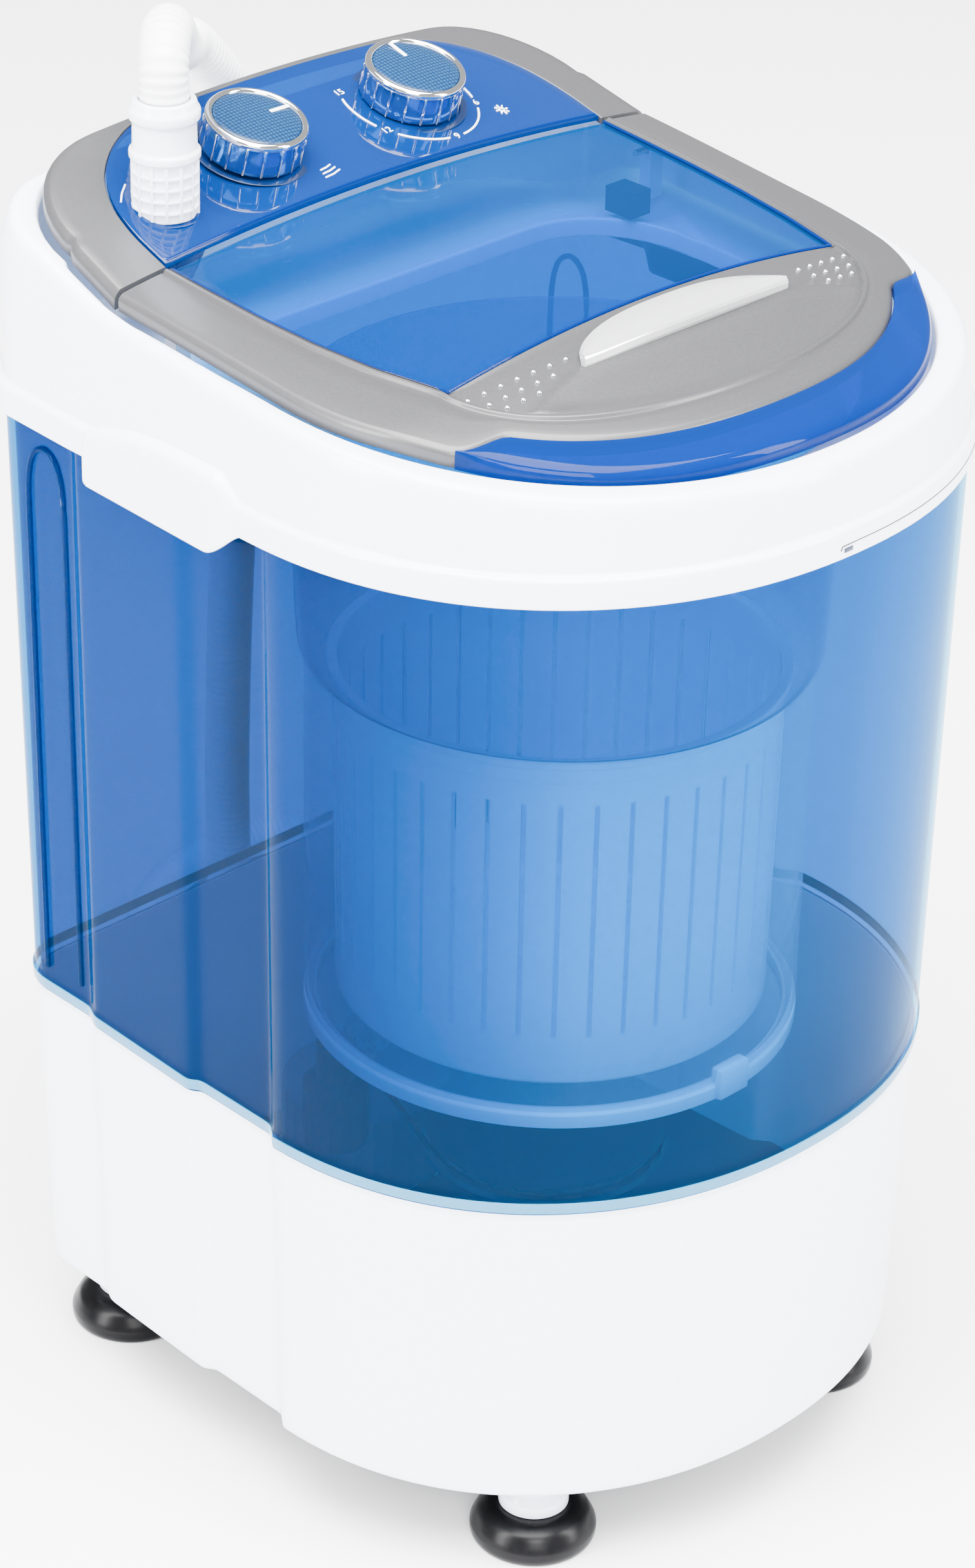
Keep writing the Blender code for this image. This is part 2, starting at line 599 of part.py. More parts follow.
def make_basket(pale, white):
    b, top, r = BASKET_BOTTOM, BASKET_TOP, BASKET_RADIUS
    profile = [(r - 2.2, top), (r + 3.0, top), (r + 3.0, top - 3.0), (r, top - 4.0), (r - 2.0, b),
               (9.0, b), (9.0, b + 2.4), (r - 4.6, b + 2.4)]
    basket = piece("spin_basket", at_axis(turned(profile, 48)), pale, (0.0, AXIS_Y, b))
    slots = []
    for i in range(24):
        slot = block((r - 8.0, -1.3, b + 20.0), (r + 8.0, 1.3, top - 16.0))
        turn = Matrix.Rotation(math.tau * (i + 0.5) / 24, 3, "Z")
        bmesh.ops.rotate(slot, verts=slot.verts, cent=(0, 0, 0), matrix=turn)
        slots.append(slot)
    boolean(basket, "DIFFERENCE", piece("basket_slots", at_axis(joined(slots)), pale, (0.0, AXIS_Y, b)))
    floor = b + 2.4 + GAP
    dome = [(0, floor + 9.0), (20.0, floor + 8.0), (66.0, floor + 2.5), (78.0, floor + 1.8), (78.0, floor), (0, floor)]
    disc = piece("pulsator", at_axis(turned(dome[::-1], 36)), white, (0.0, AXIS_Y, floor))
    for i in range(4):
        vane = prism([(12.0, -5.0), (68.0, -2.5), (72.0, 0.0), (68.0, 2.5), (12.0, 5.0)], floor + 1.0, floor + 15.0)
        bmesh.ops.rotate(vane, verts=vane.verts, cent=(0, 0, 0),
                         matrix=Matrix.Rotation(math.tau * i / 4 + 0.4, 3, "Z"))
        boolean(disc, "UNION", piece(f"vane_{i}", at_axis(vane), white, (0.0, AXIS_Y, floor)))


# Drive, below the tub

def make_drive(steel, grey, black, white):
    flange_top = TUB_BOTTOM - GAP
    housing = [(44.0, flange_top), (44.0, flange_top - 4.0), (18.0, flange_top - 7.0), (18.0, 140.0),
               (13.2, 140.0), (13.2, flange_top - 1.2), (16.0, flange_top - 1.2), (16.0, flange_top)]
    piece("bearing_housing", at_axis(turned(housing[::-1], 28)), grey)
    for name, low in (("lower_bearing", 142.0), ("upper_bearing", 178.0)):
        piece(name, at_axis(tube(SHAFT_RADIUS + GAP, 12.9, low, low + 9.0, 24)), steel)
    piece("drive_shaft", at_axis(rod(SHAFT_RADIUS, 116.0, BASKET_BOTTOM + 2.2, 24)), steel, (0.0, AXIS_Y, 116.0))
    low, top = PULLEY_BOTTOM, PULLEY_BOTTOM + PULLEY_HEIGHT
    mid = (low + top) / 2.0
    big = [(SHAFT_RADIUS + GAP, top), (PULLEY_RADIUS, top), (PULLEY_RADIUS - 4.0, mid), (PULLEY_RADIUS, low),
           (SHAFT_RADIUS + GAP, low)]
    piece("drive_pulley", at_axis(turned(big[::-1], 36)), white, (0.0, AXIS_Y, mid))
    small = [(4.0 + GAP, top), (MOTOR_PULLEY_RADIUS, top), (MOTOR_PULLEY_RADIUS - 3.5, mid),
             (MOTOR_PULLEY_RADIUS, low), (4.0 + GAP, low)]
    piece("motor_pulley", move(turned(small[::-1], 20), 0.0, MOTOR_Y), steel, (0.0, MOTOR_Y, mid))
    piece("motor_shaft", move(rod(4.0, 108.6, 136.0, 16), 0.0, MOTOR_Y), steel, (0.0, MOTOR_Y, 108.6))
    belt = []
    for grow in (2.4, 0.6):
        loop = []
        lean = math.asin((PULLEY_RADIUS - MOTOR_PULLEY_RADIUS) / (MOTOR_Y - AXIS_Y))
        ends = ((AXIS_Y, PULLEY_RADIUS - 2.4, math.pi - lean, math.pi + 2.0 * lean),
                (MOTOR_Y, MOTOR_PULLEY_RADIUS - 2.3, lean, math.pi - 2.0 * lean))
        for y, radius, start, sweep in ends:
            for i in range(17):
                turn = start + sweep * i / 16
                loop.append(((radius + grow) * math.cos(turn), y + (radius + grow) * math.sin(turn)))
        belt += [[(x, y, mid - 1.2) for x, y in loop], [(x, y, mid + 1.2) for x, y in loop]]
    piece("drive_belt", loft([belt[0], belt[1], belt[3], belt[2]], True), black)
    motor = [(0, 108.0), (14.0, 108.0), (16.0, 104.0), (40.0, 102.0), (40.0, 62.0), (0, 62.0)]
    piece("motor", move(turned(motor, 28), 0.0, MOTOR_Y), grey)
    frame = [(-52.0, 51.1), (-48.0, 51.1), (-48.0, 58.5), (48.0, 58.5), (48.0, 51.1), (52.0, 51.1), (52.0, 61.7),
             (-52.0, 61.7)]
    low_y, high_y = MOTOR_Y - 36.0, MOTOR_Y + 36.0
    mount = loft([[(x, low_y, z) for x, z in frame], [(x, high_y, z) for x, z in frame]], False)
    piece("motor_mount", mount, steel)
    piece("capacitor", move(rod(16.0, 51.1, 108.0, 24), 96.0, 60.0), steel)


def make_services(grey, black, white):
    """Drain valve under the tub, its spigot and the cord gland on the rear wall, and the lid switch."""
    valve = [(0, 188.0), (9.0, 188.0), (9.0, 170.0), (15.0, 168.0), (15.0, 138.0), (6.0, 134.0), (0, 134.0)]
    piece("drain_valve", move(turned(valve, 20), -84.0, 30.0), white)
    for name, x, z, radius, length, finish in (("drain_spigot", -96.0, 82.0, 13.0, 11.0, white),
                                               ("cord_gland", 98.0, 78.0, 9.0, 11.0, black)):
        boss = turned([(radius * 0.45, 0.0), (radius + 4.0, 0.0), (radius + 4.0, 2.5), (radius, 3.0),
                       (radius * 0.8, length), (radius * 0.45, length)], 20)
        bmesh.ops.rotate(boss, verts=boss.verts, cent=(0, 0, 0), matrix=Matrix.Rotation(math.radians(-90), 3, "X"))
        wall = BODY.rear + side_grow(z + radius + 4.0)
        piece(name, move(boss, x, wall + GAP, z), finish)
    y = 60.0
    low = ledge_z(0.0, y + 8.0) + GAP
    piece("lid_switch", block((112.0, y - 8.0, low + 0.4), (124.0, y + 8.0, low + 12.0)), grey)


# Inlet hose

def spaced(points, count):
    """Points along one smooth curve through a hand-picked route."""
    padded = [points[0], *points, points[-1]]
    dense = []
    for a, b, c, d in zip(padded, padded[1:], padded[2:], padded[3:]):
        a, b, c, d = (Vector(p) for p in (a, b, c, d))
        for i in range(12):
            t = i / 12
            dense.append(0.5 * (2 * b + (c - a) * t + (2 * a - 5 * b + 4 * c - d) * t * t
                                + (3 * b - a - 3 * c + d) * t ** 3))
    dense.append(Vector(points[-1]))
    reach = [0.0]
    for p, q in zip(dense, dense[1:]):
        reach.append(reach[-1] + (q - p).length)
    out = []
    for i in range(count):
        at = reach[-1] * i / (count - 1)
        k = max(j for j in range(len(dense) - 1) if reach[j] <= at + 1e-9)
        out.append(dense[k].lerp(dense[k + 1], (at - reach[k]) / max(reach[k + 1] - reach[k], 1e-9)))
    return out


def hose(name, points, count, finish):
    curve = bpy.data.curves.new(name, "CURVE")
    curve.dimensions = "3D"
    curve.bevel_depth = HOSE_DIAMETER / 2.0 * MM
    curve.bevel_resolution = 3
    curve.use_fill_caps = True
    spline = curve.splines.new("POLY")
    route = spaced(points, count)
    spline.points.add(len(route) - 1)
    for point, place in zip(spline.points, route):
        point.co = (*(place * MM), 1.0)
    curve.materials.append(finish)
    obj = bpy.data.objects.new(name, curve)
    bpy.context.scene.collection.objects.link(obj)


def make_hose(white):
    hose("inlet_hose", HOSE_ROUTE, 66, white)
    hose("inlet_hose_end", HOSE_END_ROUTE, 3, white)
    ring = tube(COIL_INNER, COIL_OUTER, 0.0, HOSE_DIAMETER, 32)
    piece("inlet_hose_coil", move(ring, COIL_CENTRE.x, COIL_CENTRE.y), white)
    nut = turned([(8.0, 0.0), (14.0, 0.0), (14.0, 26.0), (12.0, 28.0), (12.0, 40.0), (8.0, 40.0)], 20)
    start, end = (Vector(point) for point in HOSE_END_ROUTE[-2:])
    heading = (end - start).normalized()
    nut.transform(Vector((0, 0, 1)).rotation_difference(heading).to_matrix().to_4x4())
    place = end + heading * GAP + Vector((0, 0, 2.6))
    piece("hose_connector", move(nut, *place), white)


def main():
    for obj in list(bpy.data.objects):
        bpy.data.objects.remove(obj, do_unlink=True)
    white = material("white_plastic", WHITE, 0.25)
    silver = material("silver_paint", SILVER, 0.35, 0.6)
    blue = material("clear_blue", CLEAR_BLUE, 0.08)
    pale = material("pale_blue", PALE_BLUE, 0.2)
    grey = material("dark_grey", DARK_GREY, 0.5)
    black = material("black_rubber", BLACK, 0.6)
    steel = material("steel", STEEL, 0.3, 1.0)
    chrome = material("chrome", STEEL, 0.08, 1.0)
    make_base(white, grey)
    make_feet(white, black)
    make_shell(blue)
    make_collar(white)
    make_deck(silver, blue)
    make_knob("selector", -KNOB_X, -2.4, chrome, blue, steel, grey)
    make_knob("timer", KNOB_X, -2.4, chrome, blue, steel, grey)
    make_inlet(white, blue)
    make_lid(silver, blue, chrome)
    make_hinges(steel, white)
    make_tub(pale, blue, grey)
    make_basket(pale, white)
    make_drive(steel, grey, black, white)
    make_services(grey, black, white)
    make_hose(white)


main()
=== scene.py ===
# %% [markdown]
# Setup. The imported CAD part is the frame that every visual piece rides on. The visual pieces here
# are moulded plastic skins, so most are lofts: a plan outline carried through a few heights, with
# its corners softened. Lengths are millimetres and are turned into metres when a mesh is made.

import math
from collections import namedtuple

import bmesh
import bpy
from mathutils import Matrix, Vector


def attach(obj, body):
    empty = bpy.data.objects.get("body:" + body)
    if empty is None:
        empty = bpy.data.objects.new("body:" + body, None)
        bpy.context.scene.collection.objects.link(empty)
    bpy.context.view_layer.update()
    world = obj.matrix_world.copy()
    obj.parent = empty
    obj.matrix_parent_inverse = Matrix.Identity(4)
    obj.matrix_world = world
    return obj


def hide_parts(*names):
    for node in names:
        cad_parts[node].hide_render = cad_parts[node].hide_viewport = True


MM = 0.001
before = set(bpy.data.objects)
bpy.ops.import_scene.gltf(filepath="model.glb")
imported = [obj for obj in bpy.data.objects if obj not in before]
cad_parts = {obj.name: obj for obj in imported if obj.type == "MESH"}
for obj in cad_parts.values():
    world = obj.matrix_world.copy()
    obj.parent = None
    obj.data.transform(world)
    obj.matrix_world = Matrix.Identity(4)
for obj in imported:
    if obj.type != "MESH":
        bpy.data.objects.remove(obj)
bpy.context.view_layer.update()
print("frame loaded:", len(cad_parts), "nodes")

# %% [markdown]
# Shared shapes. An outline runs round the plan: right flank with its moulded steps, rear corners,
# left flank, bowed front. The same count of points at every size lets outlines be joined ring to
# ring. `softened` rounds the corners of any line, in plan or in section.

# %% outline and loft tools
HINGE_Y, HINGE_Z = 86.0, 552.4
LID_SLOPE, DECK_SLOPE = math.tan(math.radians(5.0)), math.tan(math.radians(16.6))
AXIS_Y = -19.5
Plan = namedtuple("Plan", "half_width depth centre power flank rear_inset corner rear")
BODY = Plan(167.0, 156.0, AXIS_Y, 2.15,
            ((-11.5, 6.0), (34.5, 7.5), (39.5, 4.0), (106.5, 8.5), (114.5, 12.5)), 13.5, 28.0, 171.5)
COLLAR = Plan(167.0, 156.0, AXIS_Y, 2.15,
              ((-11.5, 0.2), (34.5, 1.6), (39.5, 1.8), (106.5, 5.0), (114.5, 5.6)), 7.5, 42.0, 175.5)
LID = Plan(157.0, 151.0, -12.5, 2.1,
           ((0.0, 0.0), (30.0, 0.0), (60.0, 0.0), (86.0, 0.0), (119.0, 4.0)), 6.0, 52.0, 172.0)
MOUTH = Plan(127.0, 118.0, AXIS_Y, 2.0,
             ((-10.0, 0.0), (0.0, 0.5), (8.0, 1.0), (14.0, 1.5), (20.0, 2.0)), 3.0, 50.0, 76.0)
CUTS = (2, 5, 2, 9, 2, 4)  # how finely each stretch of a flank is cut


def bend(value):
    """0 below 0, 1 above 1, and smooth between."""
    t = min(1.0, max(0.0, value))
    return t * t * (3.0 - 2.0 * t)


def rim_z(y):
    """Height of the collar's rim, gentle along the lid and steep along the deck."""
    d = y - HINGE_Y
    turn = 5.0
    soft = turn * math.log1p(math.exp(max(-30.0, min(30.0, d / turn))))
    return 541.0 + 0.085 * d + (DECK_SLOPE - 0.085) * (soft if d < 150 else d)


def crown(x, y):
    height = 7.0 + 5.0 * bend((HINGE_Y - y) / 150.0)
    return height * (1.0 - (x / 128.0) ** 2)


def lid_z(x, y):
    return HINGE_Z + (y - HINGE_Y) * LID_SLOPE + crown(x, y) - 16.0 * bend((-60.0 - y) / 105.0)


def deck_z(x, y):
    return HINGE_Z + (y - HINGE_Y) * DECK_SLOPE + crown(x, y)


def softened(points, radii, steps=3, closed=False):
    """A line with each corner replaced by a short curve of about the radius given for it."""
    out, last = [], len(points) - 1
    for i, point in enumerate(points):
        here = Vector(point)
        if radii[i] <= 0.0 or (not closed and i in (0, last)):
            out.append(here)
            continue
        before, after = Vector(points[i - 1]) - here, Vector(points[(i + 1) % len(points)]) - here
        a = here + before.normalized() * min(radii[i], before.length * 0.45)
        b = here + after.normalized() * min(radii[i], after.length * 0.45)
        for k in range(steps + 1):
            t = k / steps
            out.append(a.lerp(here, t).lerp(here.lerp(b, t), t))
    return out


def outline(plan, grow, front_steps=72, round_by=4.0):
    """The plan's outline, counter-clockwise from the right flank."""
    a, b = plan.half_width + grow, plan.depth + grow
    radius = plan.corner + min(grow, 0.0)
    x, y = a - plan.rear_inset - radius, plan.rear + grow - radius
    start = (a, plan.centre)
    flank = [start] + [(a - inset, fy) for fy, inset in plan.flank] + [(x + radius, y)]
    line, radii = [], []
    for (p, q), cuts in zip(zip(flank, flank[1:]), CUTS):
        for k in range(cuts):
            t = k / cuts
            line.append((p[0] + (q[0] - p[0]) * t, p[1] + (q[1] - p[1]) * t))
            radii.append(round_by if k == 0 and line[-1] != start else 0.0)
    turn = [math.radians(90.0) * i / 10 for i in range(11)]
    line += [(x + radius * math.cos(t), y + radius * math.sin(t)) for t in turn]
    radii += [0.0] * 11
    side = [(p.x, p.y) for p in softened([(px, py, 0.0) for px, py in line[1:]], radii[1:])]
    front = []
    for i in range(front_steps + 1):
        c, s = -math.cos(math.pi * i / front_steps), math.sin(math.pi * i / front_steps)
        reach = 2.0 / plan.power
        front.append((a * math.copysign(abs(c) ** reach, c), plan.centre - b * s ** reach))
    return side + [(-px, py) for px, py in reversed(side)] + front


def ring_at(plan, grow, height):
    return [(x, y, height(x, y) if callable(height) else height) for x, y in outline(plan, grow)]


def tidy(bm):
    bmesh.ops.remove_doubles(bm, verts=bm.verts, dist=0.004)
    bmesh.ops.recalc_face_normals(bm, faces=bm.faces)
    if bm.calc_volume(signed=True) < 0.0:
        bmesh.ops.reverse_faces(bm, faces=bm.faces)
    return bm


def loft(rings, radii=None, sleeve=False, around=True, steps=3):
    """Joins rings of equal count. Each radius softens the section's corner at that ring."""
    columns = list(zip(*rings))
    if radii:
        columns = [softened(column, radii, steps, closed=sleeve) for column in columns]
    bm = bmesh.new()
    grid = [[bm.verts.new(point) for point in column] for column in columns]
    rows = len(grid[0])
    pairs = list(zip(grid, grid[1:] + grid[:1])) if around else list(zip(grid, grid[1:]))
    for left, right in pairs:
        for k in range(rows if sleeve else rows - 1):
            j = (k + 1) % rows
            bm.faces.new((left[k], right[k], right[j], left[j]))
    if around and not sleeve:
        bm.faces.new([column[0] for column in grid])
        bm.faces.new([column[-1] for column in grid])
    if not around:
        bm.faces.new(grid[0])
        bm.faces.new(grid[-1])
    return tidy(bm)


def turned(profile, steps=64, radii=None):
    """A closed (radius, height) profile spun about Z."""
    line = [(r, 0.0, z) for r, z in profile]
    if radii:
        line = [tuple(p) for p in softened(line, radii, 3, closed=True)]
    bm = bmesh.new()
    verts = [bm.verts.new(point) for point in line]
    edges = [bm.edges.new((verts[i - 1], verts[i])) for i in range(len(verts))]
    bmesh.ops.spin(bm, geom=verts + edges, cent=(0, 0, 0), axis=(0, 0, 1),
                   angle=math.tau, steps=steps, use_merge=True)
    bmesh.ops.remove_doubles(bm, verts=bm.verts, dist=0.002)
    bmesh.ops.dissolve_degenerate(bm, edges=bm.edges, dist=0.001)
    flat = [face for face in bm.faces if face.calc_area() < 1e-7]
    bmesh.ops.delete(bm, geom=flat, context="FACES_ONLY")
    bmesh.ops.delete(bm, geom=[e for e in bm.edges if not e.link_faces], context="EDGES")
    return tidy(bm)


def swept(path, radius, sides=8):
    """A round bead along a line of points, with closed ends."""
    rings = []
    for i, point in enumerate(path):
        here = Vector(point)
        heading = (Vector(path[min(i + 1, len(path) - 1)]) - Vector(path[max(i - 1, 0)])).normalized()
        side = heading.cross(Vector((0.02, 0.03, 1.0))).normalized()
        up = side.cross(heading)
        rings.append([here + side * radius * math.cos(math.tau * k / sides)
                      + up * radius * math.sin(math.tau * k / sides) for k in range(sides)])
    return loft(rings)


def block(low, high, soften=0.0):
    bm = bmesh.new()
    bmesh.ops.create_cube(bm, size=1.0)
    bmesh.ops.scale(bm, verts=bm.verts, vec=[h - l for l, h in zip(low, high)])
    bmesh.ops.translate(bm, verts=bm.verts, vec=[(l + h) / 2.0 for l, h in zip(low, high)])
    if soften:
        bmesh.ops.bevel(bm, geom=bm.edges, offset=soften, offset_type="OFFSET", segments=2,
                        profile=0.5, affect="EDGES", material=-1)
    return bm


def placed(bm, x=0.0, y=0.0, z=0.0, lean=0.0):
    """Leans a shape back about X, then moves it."""
    bmesh.ops.rotate(bm, verts=bm.verts, cent=(0, 0, 0),
                     matrix=Matrix.Rotation(math.radians(lean), 3, "X"))
    bmesh.ops.translate(bm, verts=bm.verts, vec=(x, y, z))
    return bm


def swung(bm, angle):
    """Turns a shape about its own Z."""
    bmesh.ops.rotate(bm, verts=bm.verts, cent=(0, 0, 0), matrix=Matrix.Rotation(angle, 3, "Z"))
    return bm


def joined(shapes):
    """One shape from several, which are used up."""
    bm = bmesh.new()
    for shape in shapes:
        mesh = bpy.data.meshes.new("shape")
        shape.to_mesh(mesh)
        shape.free()
        bm.from_mesh(mesh)
        bpy.data.meshes.remove(mesh)
    return bm


def show(name, bm, finish, body, stands_for=(), sharp=40.0):
    """Makes a millimetre shape into a named piece that rides on a CAD body."""
    bmesh.ops.scale(bm, verts=bm.verts, vec=(MM, MM, MM))
    mesh = bpy.data.meshes.new(name)
    bm.to_mesh(mesh)
    bm.free()
    mesh.shade_smooth()
    mesh.set_sharp_from_angle(angle=math.radians(sharp))
    mesh.materials.append(finish)
    obj = bpy.data.objects.new(name, mesh)
    bpy.context.scene.collection.objects.link(obj)
    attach(obj, body)
    if stands_for:
        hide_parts(*stands_for)
    return obj


print("tools ready; an outline has", len(outline(BODY, 0.0)), "points")

# %% [markdown]
# Finishes. Moulded plastics get a faint waviness and an uneven gloss. The clear blue parts let
# light straight through and tint it, so what stands behind them is seen a second time darker.

# %% materials


def wavy(tree, coords, shader, scale, strength, distance):
    """Gives a shader the slow unevenness of a moulded surface."""
    swell = tree.nodes.new("ShaderNodeTexNoise")
    swell.inputs["Scale"].default_value = scale
    tree.links.new(coords.outputs["Object"], swell.inputs["Vector"])
    bump = tree.nodes.new("ShaderNodeBump")
    bump.inputs["Strength"].default_value = strength
    bump.inputs["Distance"].default_value = distance
    tree.links.new(swell.outputs["Fac"], bump.inputs["Height"])
    tree.links.new(bump.outputs["Normal"], shader.inputs["Normal"])


def finish(name, colour, roughness, metallic=0.0, coat=0.0, wave=0.02, wave_scale=18.0,
           uneven=0.06, grain=220.0, mottled=0.03):
    """An opaque finish: a gentle mottling of colour, an uneven gloss and a fine bump."""
    made = bpy.data.materials.new(name)
    made.use_nodes = True
    tree = made.node_tree
    shader = tree.nodes["Principled BSDF"]
    shader.inputs["Metallic"].default_value = metallic
    shader.inputs["Coat Weight"].default_value = coat
    shader.inputs["Coat Roughness"].default_value = 0.08
    coords = tree.nodes.new("ShaderNodeTexCoord")
    noise = tree.nodes.new("ShaderNodeTexNoise")
    noise.inputs["Scale"].default_value = grain
    noise.inputs["Detail"].default_value = 4.0
    tree.links.new(coords.outputs["Object"], noise.inputs["Vector"])
    gloss = tree.nodes.new("ShaderNodeMapRange")
    gloss.inputs["To Min"].default_value = max(0.02, roughness - uneven)
    gloss.inputs["To Max"].default_value = roughness + uneven
    tree.links.new(noise.outputs["Fac"], gloss.inputs["Value"])
    tree.links.new(gloss.outputs["Result"], shader.inputs["Roughness"])
    shade = tree.nodes.new("ShaderNodeValToRGB")
    shade.color_ramp.elements[0].position = 0.3
    shade.color_ramp.elements[1].position = 0.7
    shade.color_ramp.elements[0].color = (*[c * (1.0 - mottled) for c in colour], 1.0)
    shade.color_ramp.elements[1].color = (*[min(1.0, c * (1.0 + mottled)) for c in colour], 1.0)
    tree.links.new(noise.outputs["Fac"], shade.inputs["Fac"])
    tree.links.new(shade.outputs["Color"], shader.inputs["Base Color"])
    wavy(tree, coords, shader, wave_scale, wave, 0.002)
    return made


def clear(name, tint, surface, milky, painted_shade_tint=None):
    """A clear tinted plastic with a faint body colour and a gloss; a second tint, if given, darkens it
    towards the rear and the flanks as painted shade.
    """
    made = bpy.data.materials.new(name)
    made.use_nodes = True
    tree = made.node_tree
    tree.nodes.clear()
    out = tree.nodes.new("ShaderNodeOutputMaterial")
    through = tree.nodes.new("ShaderNodeBsdfTransparent")
    face = tree.nodes.new("ShaderNodeBsdfPrincipled")
    face.inputs["Base Color"].default_value = (*surface, 1.0)
    face.inputs["Roughness"].default_value = 0.04
    face.inputs["Specular IOR Level"].default_value = 0.4
    coords = tree.nodes.new("ShaderNodeTexCoord")
    split = tree.nodes.new("ShaderNodeSeparateXYZ")
    tree.links.new(coords.outputs["Object"], split.inputs["Vector"])
    depth = tree.nodes.new("ShaderNodeMapRange")
    depth.inputs["From Min"].default_value = -0.06
    depth.inputs["From Max"].default_value = 0.08
    across = tree.nodes.new("ShaderNodeMath")
    across.operation = "ABSOLUTE"
    tree.links.new(split.outputs["X"], across.inputs[0])
    along = tree.nodes.new("ShaderNodeMath")
    along.operation = "MULTIPLY_ADD"
    along.inputs[1].default_value = 0.75
    tree.links.new(across.outputs["Value"], along.inputs[0])
    tree.links.new(split.outputs["Y"], along.inputs[2])
    tree.links.new(along.outputs["Value"], depth.inputs["Value"])
    # The ramp runs from the tint at the front to a darker tint towards the rear and the flanks: painted
    # shade.
    dense = tree.nodes.new("ShaderNodeValToRGB")
    dense.color_ramp.elements[0].color = (*tint, 1.0)
    dense.color_ramp.elements[1].color = (*(painted_shade_tint or tint), 1.0)
    tree.links.new(depth.outputs["Result"], dense.inputs["Fac"])
    tree.links.new(dense.outputs["Color"], through.inputs["Color"])
    wavy(tree, coords, face, 14.0, 0.03, 0.004)
    facing = tree.nodes.new("ShaderNodeLayerWeight")
    steep = tree.nodes.new("ShaderNodeMath")
    steep.operation = "POWER"
    steep.inputs[1].default_value = 5.0
    tree.links.new(facing.outputs["Facing"], steep.inputs[0])
    share = tree.nodes.new("ShaderNodeMath")
    share.operation = "MULTIPLY_ADD"
    share.use_clamp = True
    share.inputs[1].default_value = 0.5
    share.inputs[2].default_value = milky + 0.03
    tree.links.new(steep.outputs["Value"], share.inputs[0])
    mix = tree.nodes.new("ShaderNodeMixShader")
    tree.links.new(share.outputs["Value"], mix.inputs["Fac"])
    tree.links.new(through.outputs["BSDF"], mix.inputs[1])
    tree.links.new(face.outputs["BSDF"], mix.inputs[2])
    tree.links.new(mix.outputs["Shader"], out.inputs["Surface"])
    return made


WHITE = finish("white_moulding", (0.80, 0.83, 0.92), 0.26, coat=0.25, uneven=0.04, mottled=0.01)
HOSE_WHITE = finish("white_hose", (0.84, 0.85, 0.87), 0.38, uneven=0.05)
SILVER = finish("silver_moulding", (0.05, 0.05, 0.053), 0.38, metallic=0.25, coat=0.15, grain=900.0,
                mottled=0.06)
PALE = finish("pale_blue_moulding", (0.70, 0.90, 0.97), 0.25, coat=0.2)
DARK = finish("dark_moulding", (0.02, 0.022, 0.026), 0.45)
RUBBER = finish("black_rubber", (0.003, 0.003, 0.0035), 0.3, wave=0.05, mottled=0.2)
RUBBER.node_tree.nodes["Principled BSDF"].inputs["Specular IOR Level"].default_value = 0.12
STEEL = finish("turned_steel", (0.56, 0.57, 0.59), 0.28, metallic=1.0, grain=500.0)
CHROME = finish("bright_plate", (0.80, 0.81, 0.83), 0.07, metallic=1.0, uneven=0.03)
BAND_BLUE = finish("band_blue", (0.01, 0.14, 0.27), 0.2)
BLUE_PLATE = finish("blue_bright_plate", (0.02, 0.12, 0.42), 0.1, metallic=0.85, uneven=0.03)
DEEP_BLUE = finish("deep_blue", (0.0, 0.008, 0.04), 0.3)
HANDLE_PLATE = finish("handle_plate", (0.62, 0.63, 0.64), 0.12, metallic=0.5, uneven=0.03)
MARK = finish("white_print", (0.85, 0.87, 0.9), 0.5)
# The shell's tint is made darker towards the rear and the flanks: painted shade.
SHELL_BLUE = clear("clear_blue_shell", (0.05, 0.62, 0.82), (0.0, 0.06, 0.20), milky=0.05,
                   painted_shade_tint=(0.01, 0.36, 0.58))
PANEL_BLUE = clear("clear_blue_panel", (0.02, 0.28, 0.58), (0.0, 0.022, 0.13), milky=0.55)
WINDOW_BLUE = clear("clear_blue_window", (0.07, 0.50, 0.78), (0.0, 0.05, 0.18), milky=0.12)
LENS_BLUE = clear("clear_blue_lens", (0.01, 0.22, 0.60), (0.0, 0.02, 0.14), milky=0.45)
LENS_BLUE.node_tree.nodes["Principled BSDF"].inputs["Specular IOR Level"].default_value = 0.15
TUB_CLEAR = clear("clear_tub", (0.90, 0.97, 0.99), (0.45, 0.70, 0.85), milky=0.10)
SPLASH_BLUE = clear("clear_splash_ring", (0.62, 0.86, 0.96), (0.06, 0.24, 0.45), milky=0.20)
CASTING = finish("cast_metal", (0.05, 0.052, 0.055), 0.5, metallic=0.3, wave=0.3, wave_scale=90.0)
PULLEY = finish("moulded_pulley", (0.03, 0.031, 0.033), 0.45)
MOTOR_PAINT = finish("motor_paint", (0.20, 0.21, 0.23), 0.4, metallic=0.3, wave=0.2, wave_scale=60.0)
CAN = finish("drawn_can", (0.62, 0.63, 0.66), 0.3, metallic=0.9)
print("finishes:", len(bpy.data.materials))

# %% [markdown]
# Camera and light. A long lens from the front left and above, on a pale plain floor, with broad
# soft lights, so that the gloss shows as long even streaks.

# %% camera, light and floor
camera = bpy.data.objects.new("camera", bpy.data.cameras.new("camera"))
bpy.context.scene.collection.objects.link(camera)
right, up, back = (Vector(v) for v in ((0.70885, -0.70506, 0.02051), (0.32591, 0.35317, 0.87696),
                                       (-0.62555, -0.61495, 0.48013)))
turn = Matrix((right, up, back)).transposed()
camera.matrix_world = Matrix.Translation((-1.30536, -1.26098, 1.29214)) @ turn.to_4x4()
camera.data.lens = 107.94
camera.data.sensor_width = 36.0
bpy.context.scene.camera = camera

